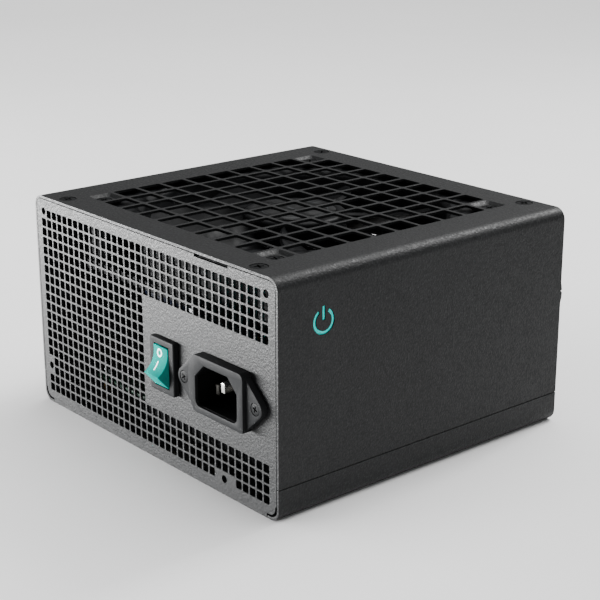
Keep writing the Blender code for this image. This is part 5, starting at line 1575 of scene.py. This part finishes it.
@dataclass
class PowerBoard:
    """The circuit board and the large components that stand on it."""

    turn_wire: float = 1.1 * MM

    def build(self) -> None:
        """Makes every piece inside the case."""
        refine_node("power_board", LAMINATE, width=0.1 * MM)
        refine_node("insulation_sheet", FISH_PAPER, width=0.1 * MM)
        for number in range(1, 5):
            refine_node(f"board_standoff_{number}", BRASS, width=0.3 * MM)
            self.board_screw(f"board_screw_{number}")
        for node, finish, width in (("primary_heatsink", ALUMINIUM, 0.3),
                                    ("secondary_heatsink", ALUMINIUM, 0.3),
                                    ("transformer_core", FERRITE, 0.6), ("transformer_winding", TAPE, 0.8),
                                    ("standby_transformer", TAPE, 1.2), ("mains_filter_capacitor", TAPE, 0.8),
                                    ("bridge_rectifier", BLACK_NYLON_AND_SOCKET_SHADE, 0.4)):
            refine_node(node, finish, width=width * MM)
        for node in ("bulk_capacitor", *(f"output_capacitor_{i}" for i in range(1, 5))):
            self.capacitor(node)
        for node, turns, inner in (("pfc_choke", 22, 6.5), ("output_choke", 16, 4.5),
                                   ("mains_filter_choke", 18, 4.5)):
            self.choke(node, turns, inner * MM)

    def board_screw(self, node: str) -> None:
        """Makes a pan-head screw with a cross recess."""
        low, high = corners_of(node)
        at = middle_of(node)
        radius, shank, seat = high.x - at.x, 1.3 * MM, high.z - 1.8 * MM
        profile = [(0, high.z), (radius * 0.55, high.z), (radius * 0.9, high.z - 0.35 * MM),
                   (radius, high.z - 0.9 * MM), (radius, seat), (shank, seat), (shank, low.z), (0, low.z)]
        screw = Form.turned(profile, 32)
        reach, arm = radius * 0.55, radius * 0.12
        for wide, tall in ((reach, arm), (arm, reach)):
            screw.cut(Form.block((-wide, -tall, high.z - 1.1 * MM), (wide, tall, high.z + SHEET)))
        place_piece(f"{node}_cross", screw.move((at.x, at.y, 0)), BRIGHT_STEEL, Body.HOUSING, [node])

    def capacitor(self, node: str) -> None:
        """Makes a sleeved can with a crimped neck, and the bare scored top that shows in its sleeve."""
        low, high = corners_of(node)
        at = middle_of(node)
        radius, foot, top = high.x - at.x, low.z, high.z
        lip = radius * 0.1
        profile = [(0, foot), (radius * 0.9, foot), (radius, foot + lip), (radius, foot + 2.0 * lip),
                   (radius * 0.93, foot + 2.8 * lip), (radius, foot + 3.6 * lip), (radius, top - lip)]
        profile += arc(radius - lip, top - lip, lip, 0, 90, 5)[1:]
        profile += [(radius * 0.78, top), (radius * 0.78, top - 0.4 * MM), (0, top - 0.4 * MM)]
        can = Form.turned(profile, 48).move((at.x, at.y, 0))
        place_piece(f"{node}_sleeve", can, SLEEVE, Body.HOUSING, [node])
        wide, under, over = radius * 0.76, top - 0.35 * MM, top - 0.1 * MM
        disc = Form.turned([(0, under), (wide, under), (wide, over), (0, over)], 48)
        score = radius * 0.6
        for wide, tall in ((score, 0.15 * MM), (0.15 * MM, score)):
            disc.cut(Form.block((-wide, -tall, top - 0.2 * MM), (wide, tall, top)))
        place_piece(f"{node}_top", disc.move((at.x, at.y, 0)), CAN_TOP)

    def choke(self, node: str, turns: int, inner: float) -> None:
        """Makes a ring core with separate turns of wire round its section."""
        low, high = corners_of(node)
        at = middle_of(node)
        wire = self.turn_wire
        outer = high.x - at.x
        core_in, core_out = inner + wire, outer - wire
        core_low, core_high = low.z + wire, high.z - wire
        soft = 0.8 * MM
        profile = [(core_in, core_low + soft), (core_in + soft, core_low), (core_out - soft, core_low),
                   (core_out, core_low + soft), (core_out, core_high - soft), (core_out - soft, core_high),
                   (core_in + soft, core_high), (core_in, core_high - soft)]
        core = Form.turned(profile, 48).move((at.x, at.y, 0))
        place_piece(f"{node}_core", core, FERRITE, Body.HOUSING, [node])
        winding = Form()
        middle_r, middle_z = (inner + outer) / 2, (low.z + high.z) / 2
        half_r, half_z = (outer - inner) / 2 - wire / 2, (high.z - low.z) / 2 - wire / 2
        corner, thick = 1.4 * MM, wire * 0.9
        hollow = rectangle(0, 0, half_r - thick, half_z - thick)
        for number in range(turns):
            loop = Form.plate(rectangle(0, 0, half_r, half_z), Axis.Y, -wire / 2, wire / 2, [corner] * 4, 3)
            loop.cut(Form.plate(hollow, Axis.Y, -wire, wire, [corner * 0.5] * 4, 2))
            loop.round_sharp(wire * 0.3, 2, 60.0)
            winding.add(loop.move((middle_r, 0, middle_z)).turn(360 * number / turns, "Z"))
        place_piece(f"{node}_winding", winding.move((at.x, at.y, 0)), COPPER_WIRE)


# ---------------------------------------------------------------------------------------------
# Studio
# ---------------------------------------------------------------------------------------------


@dataclass
class Studio:
    """A pale floor, soft lights and the camera."""

    camera_at: Point3 = (427.6 * MM, -357.9 * MM, 227.9 * MM)
    right: Point3 = (0.64502, 0.76416, -0.00063)
    down: Point3 = (0.23442, -0.19865, -0.95162)
    lens_mm: float = 89.76
    shift: Point2 = (-0.0009, -0.0078)
    floor_side: float = 14.0
    ceiling_degrees: float = 70.0
    room_light: float = 0.32

    def build(self) -> None:
        """Sets up floor, world, lights and camera."""
        self.build_floor()
        self.build_world()
        # The key stands low at the left: the panel shines and the grille's holes stay dark.
        self.softbox("key", (-0.62, -0.62, 0.047), (0.0, -0.07, 0.047), (0.90, 0.085), 46.0)
        # Behind and high: its gleam runs along the fold between top and side, and the side stays dark.
        self.softbox("fold gleam", (0.03, 0.69, 0.71), (0.07, 0.0, 0.08), (0.16, 0.40), 6.0)
        self.skylight((0.0, 0.35, 1.0), 3.2)
        self.build_camera()

    def hang(self, data: bpy.types.ID, place: Matrix) -> bpy.types.Object:
        """Adds a light or the camera to the scene at its place."""
        holder = bpy.data.objects.new(data.name, data)
        holder.matrix_world = place
        bpy.context.scene.collection.objects.link(holder)
        return holder

    def build_floor(self) -> None:
        """Lays the floor: smooth white paper with a faint unevenness."""
        bm = bmesh.new()
        bmesh.ops.create_grid(bm, x_segments=1, y_segments=1, size=self.floor_side / 2)
        mesh = bpy.data.meshes.new("floor")
        bm.to_mesh(mesh)
        bm.free()
        paper = Finish("white_paper", "", "f6f6f6", "f9f9f9", 0.9, patch_mm=300.0, grain_mm=4.0,
                       grain_height_mm=0.01)
        mesh.materials.append(paper.material())
        floor = bpy.data.objects.new("floor", mesh)
        bpy.context.scene.collection.objects.link(floor)

    def build_world(self) -> None:
        """Fills the room with even white light."""
        world = bpy.data.worlds.new("white room")
        world.use_nodes = True
        ground = world.node_tree.nodes["Background"]
        ground.inputs["Color"].default_value = (1.0, 1.0, 1.0, 1.0)
        ground.inputs["Strength"].default_value = self.room_light
        bpy.context.scene.world = world

    def softbox(self, name: str, at: Point3, towards: Point3, size: Point2, power: float) -> None:
        """Hangs a rectangular soft light.

        Args:
            name: the light's name.
            at: its place.
            towards: the point that it faces.
            size: its width and height.
            power: its power in watts.
        """
        light = bpy.data.lights.new(name, "AREA")
        light.shape = "RECTANGLE"
        light.size, light.size_y = size
        light.energy = power
        aim = Vector(towards) - Vector(at)
        self.hang(light, Matrix.Translation(at) @ aim.to_track_quat("-Z", "Y").to_matrix().to_4x4())

    def skylight(self, source: Point3, power: float) -> None:
        """Lights the room from above, as through a wide white ceiling.

        Args:
            source: the direction that the light comes from.
            power: its strength.
        """
        light = bpy.data.lights.new("ceiling", "SUN")
        light.energy = power
        light.angle = math.radians(self.ceiling_degrees)
        self.hang(light, Vector(source).to_track_quat("Z", "Y").to_matrix().to_4x4())

    def build_camera(self) -> None:
        """Places the camera."""
        camera = bpy.data.cameras.new("camera")
        camera.sensor_width = 36.0
        camera.lens = self.lens_mm
        camera.shift_x, camera.shift_y = self.shift
        camera.clip_start = 0.01
        camera.clip_end = 50.0
        right = Vector(self.right).normalized()
        up = -Vector(self.down).normalized()
        back = right.cross(up)
        turn = Matrix((right, up, back)).transposed().to_4x4()
        bpy.context.scene.camera = self.hang(camera, Matrix.Translation(self.camera_at) @ turn)


def build_unit() -> None:
    """Builds the whole unit, sub-assembly by sub-assembly."""
    fixings = Fixings()
    inlet = Inlet()
    switch = Switch()
    Cover(fixings).build()
    Tray().build()
    face = corners_of("ac_panel")[0].y
    inlet_opening = inlet.socket(inlet.socket_wall + 0.3 * MM, face - SHEET, face + 2 * SHEET)
    MainsPanel("ac_panel", -1).build(fixings, [switch.cutout(), inlet_opening, *inlet.screw_holes(fixings)])
    CablePanel("rear_panel", 1).build(fixings)
    inlet.build(fixings)
    switch.build()
    fixings.build()
    Trim().build()
    Fan().build()
    PowerBoard().build()


def main() -> None:
    """Builds the unit and its studio."""
    logging.basicConfig(level=logging.INFO, format="%(name)s: %(message)s")
    build_unit()
    Studio().build()


if __name__ == "__main__":
    main()
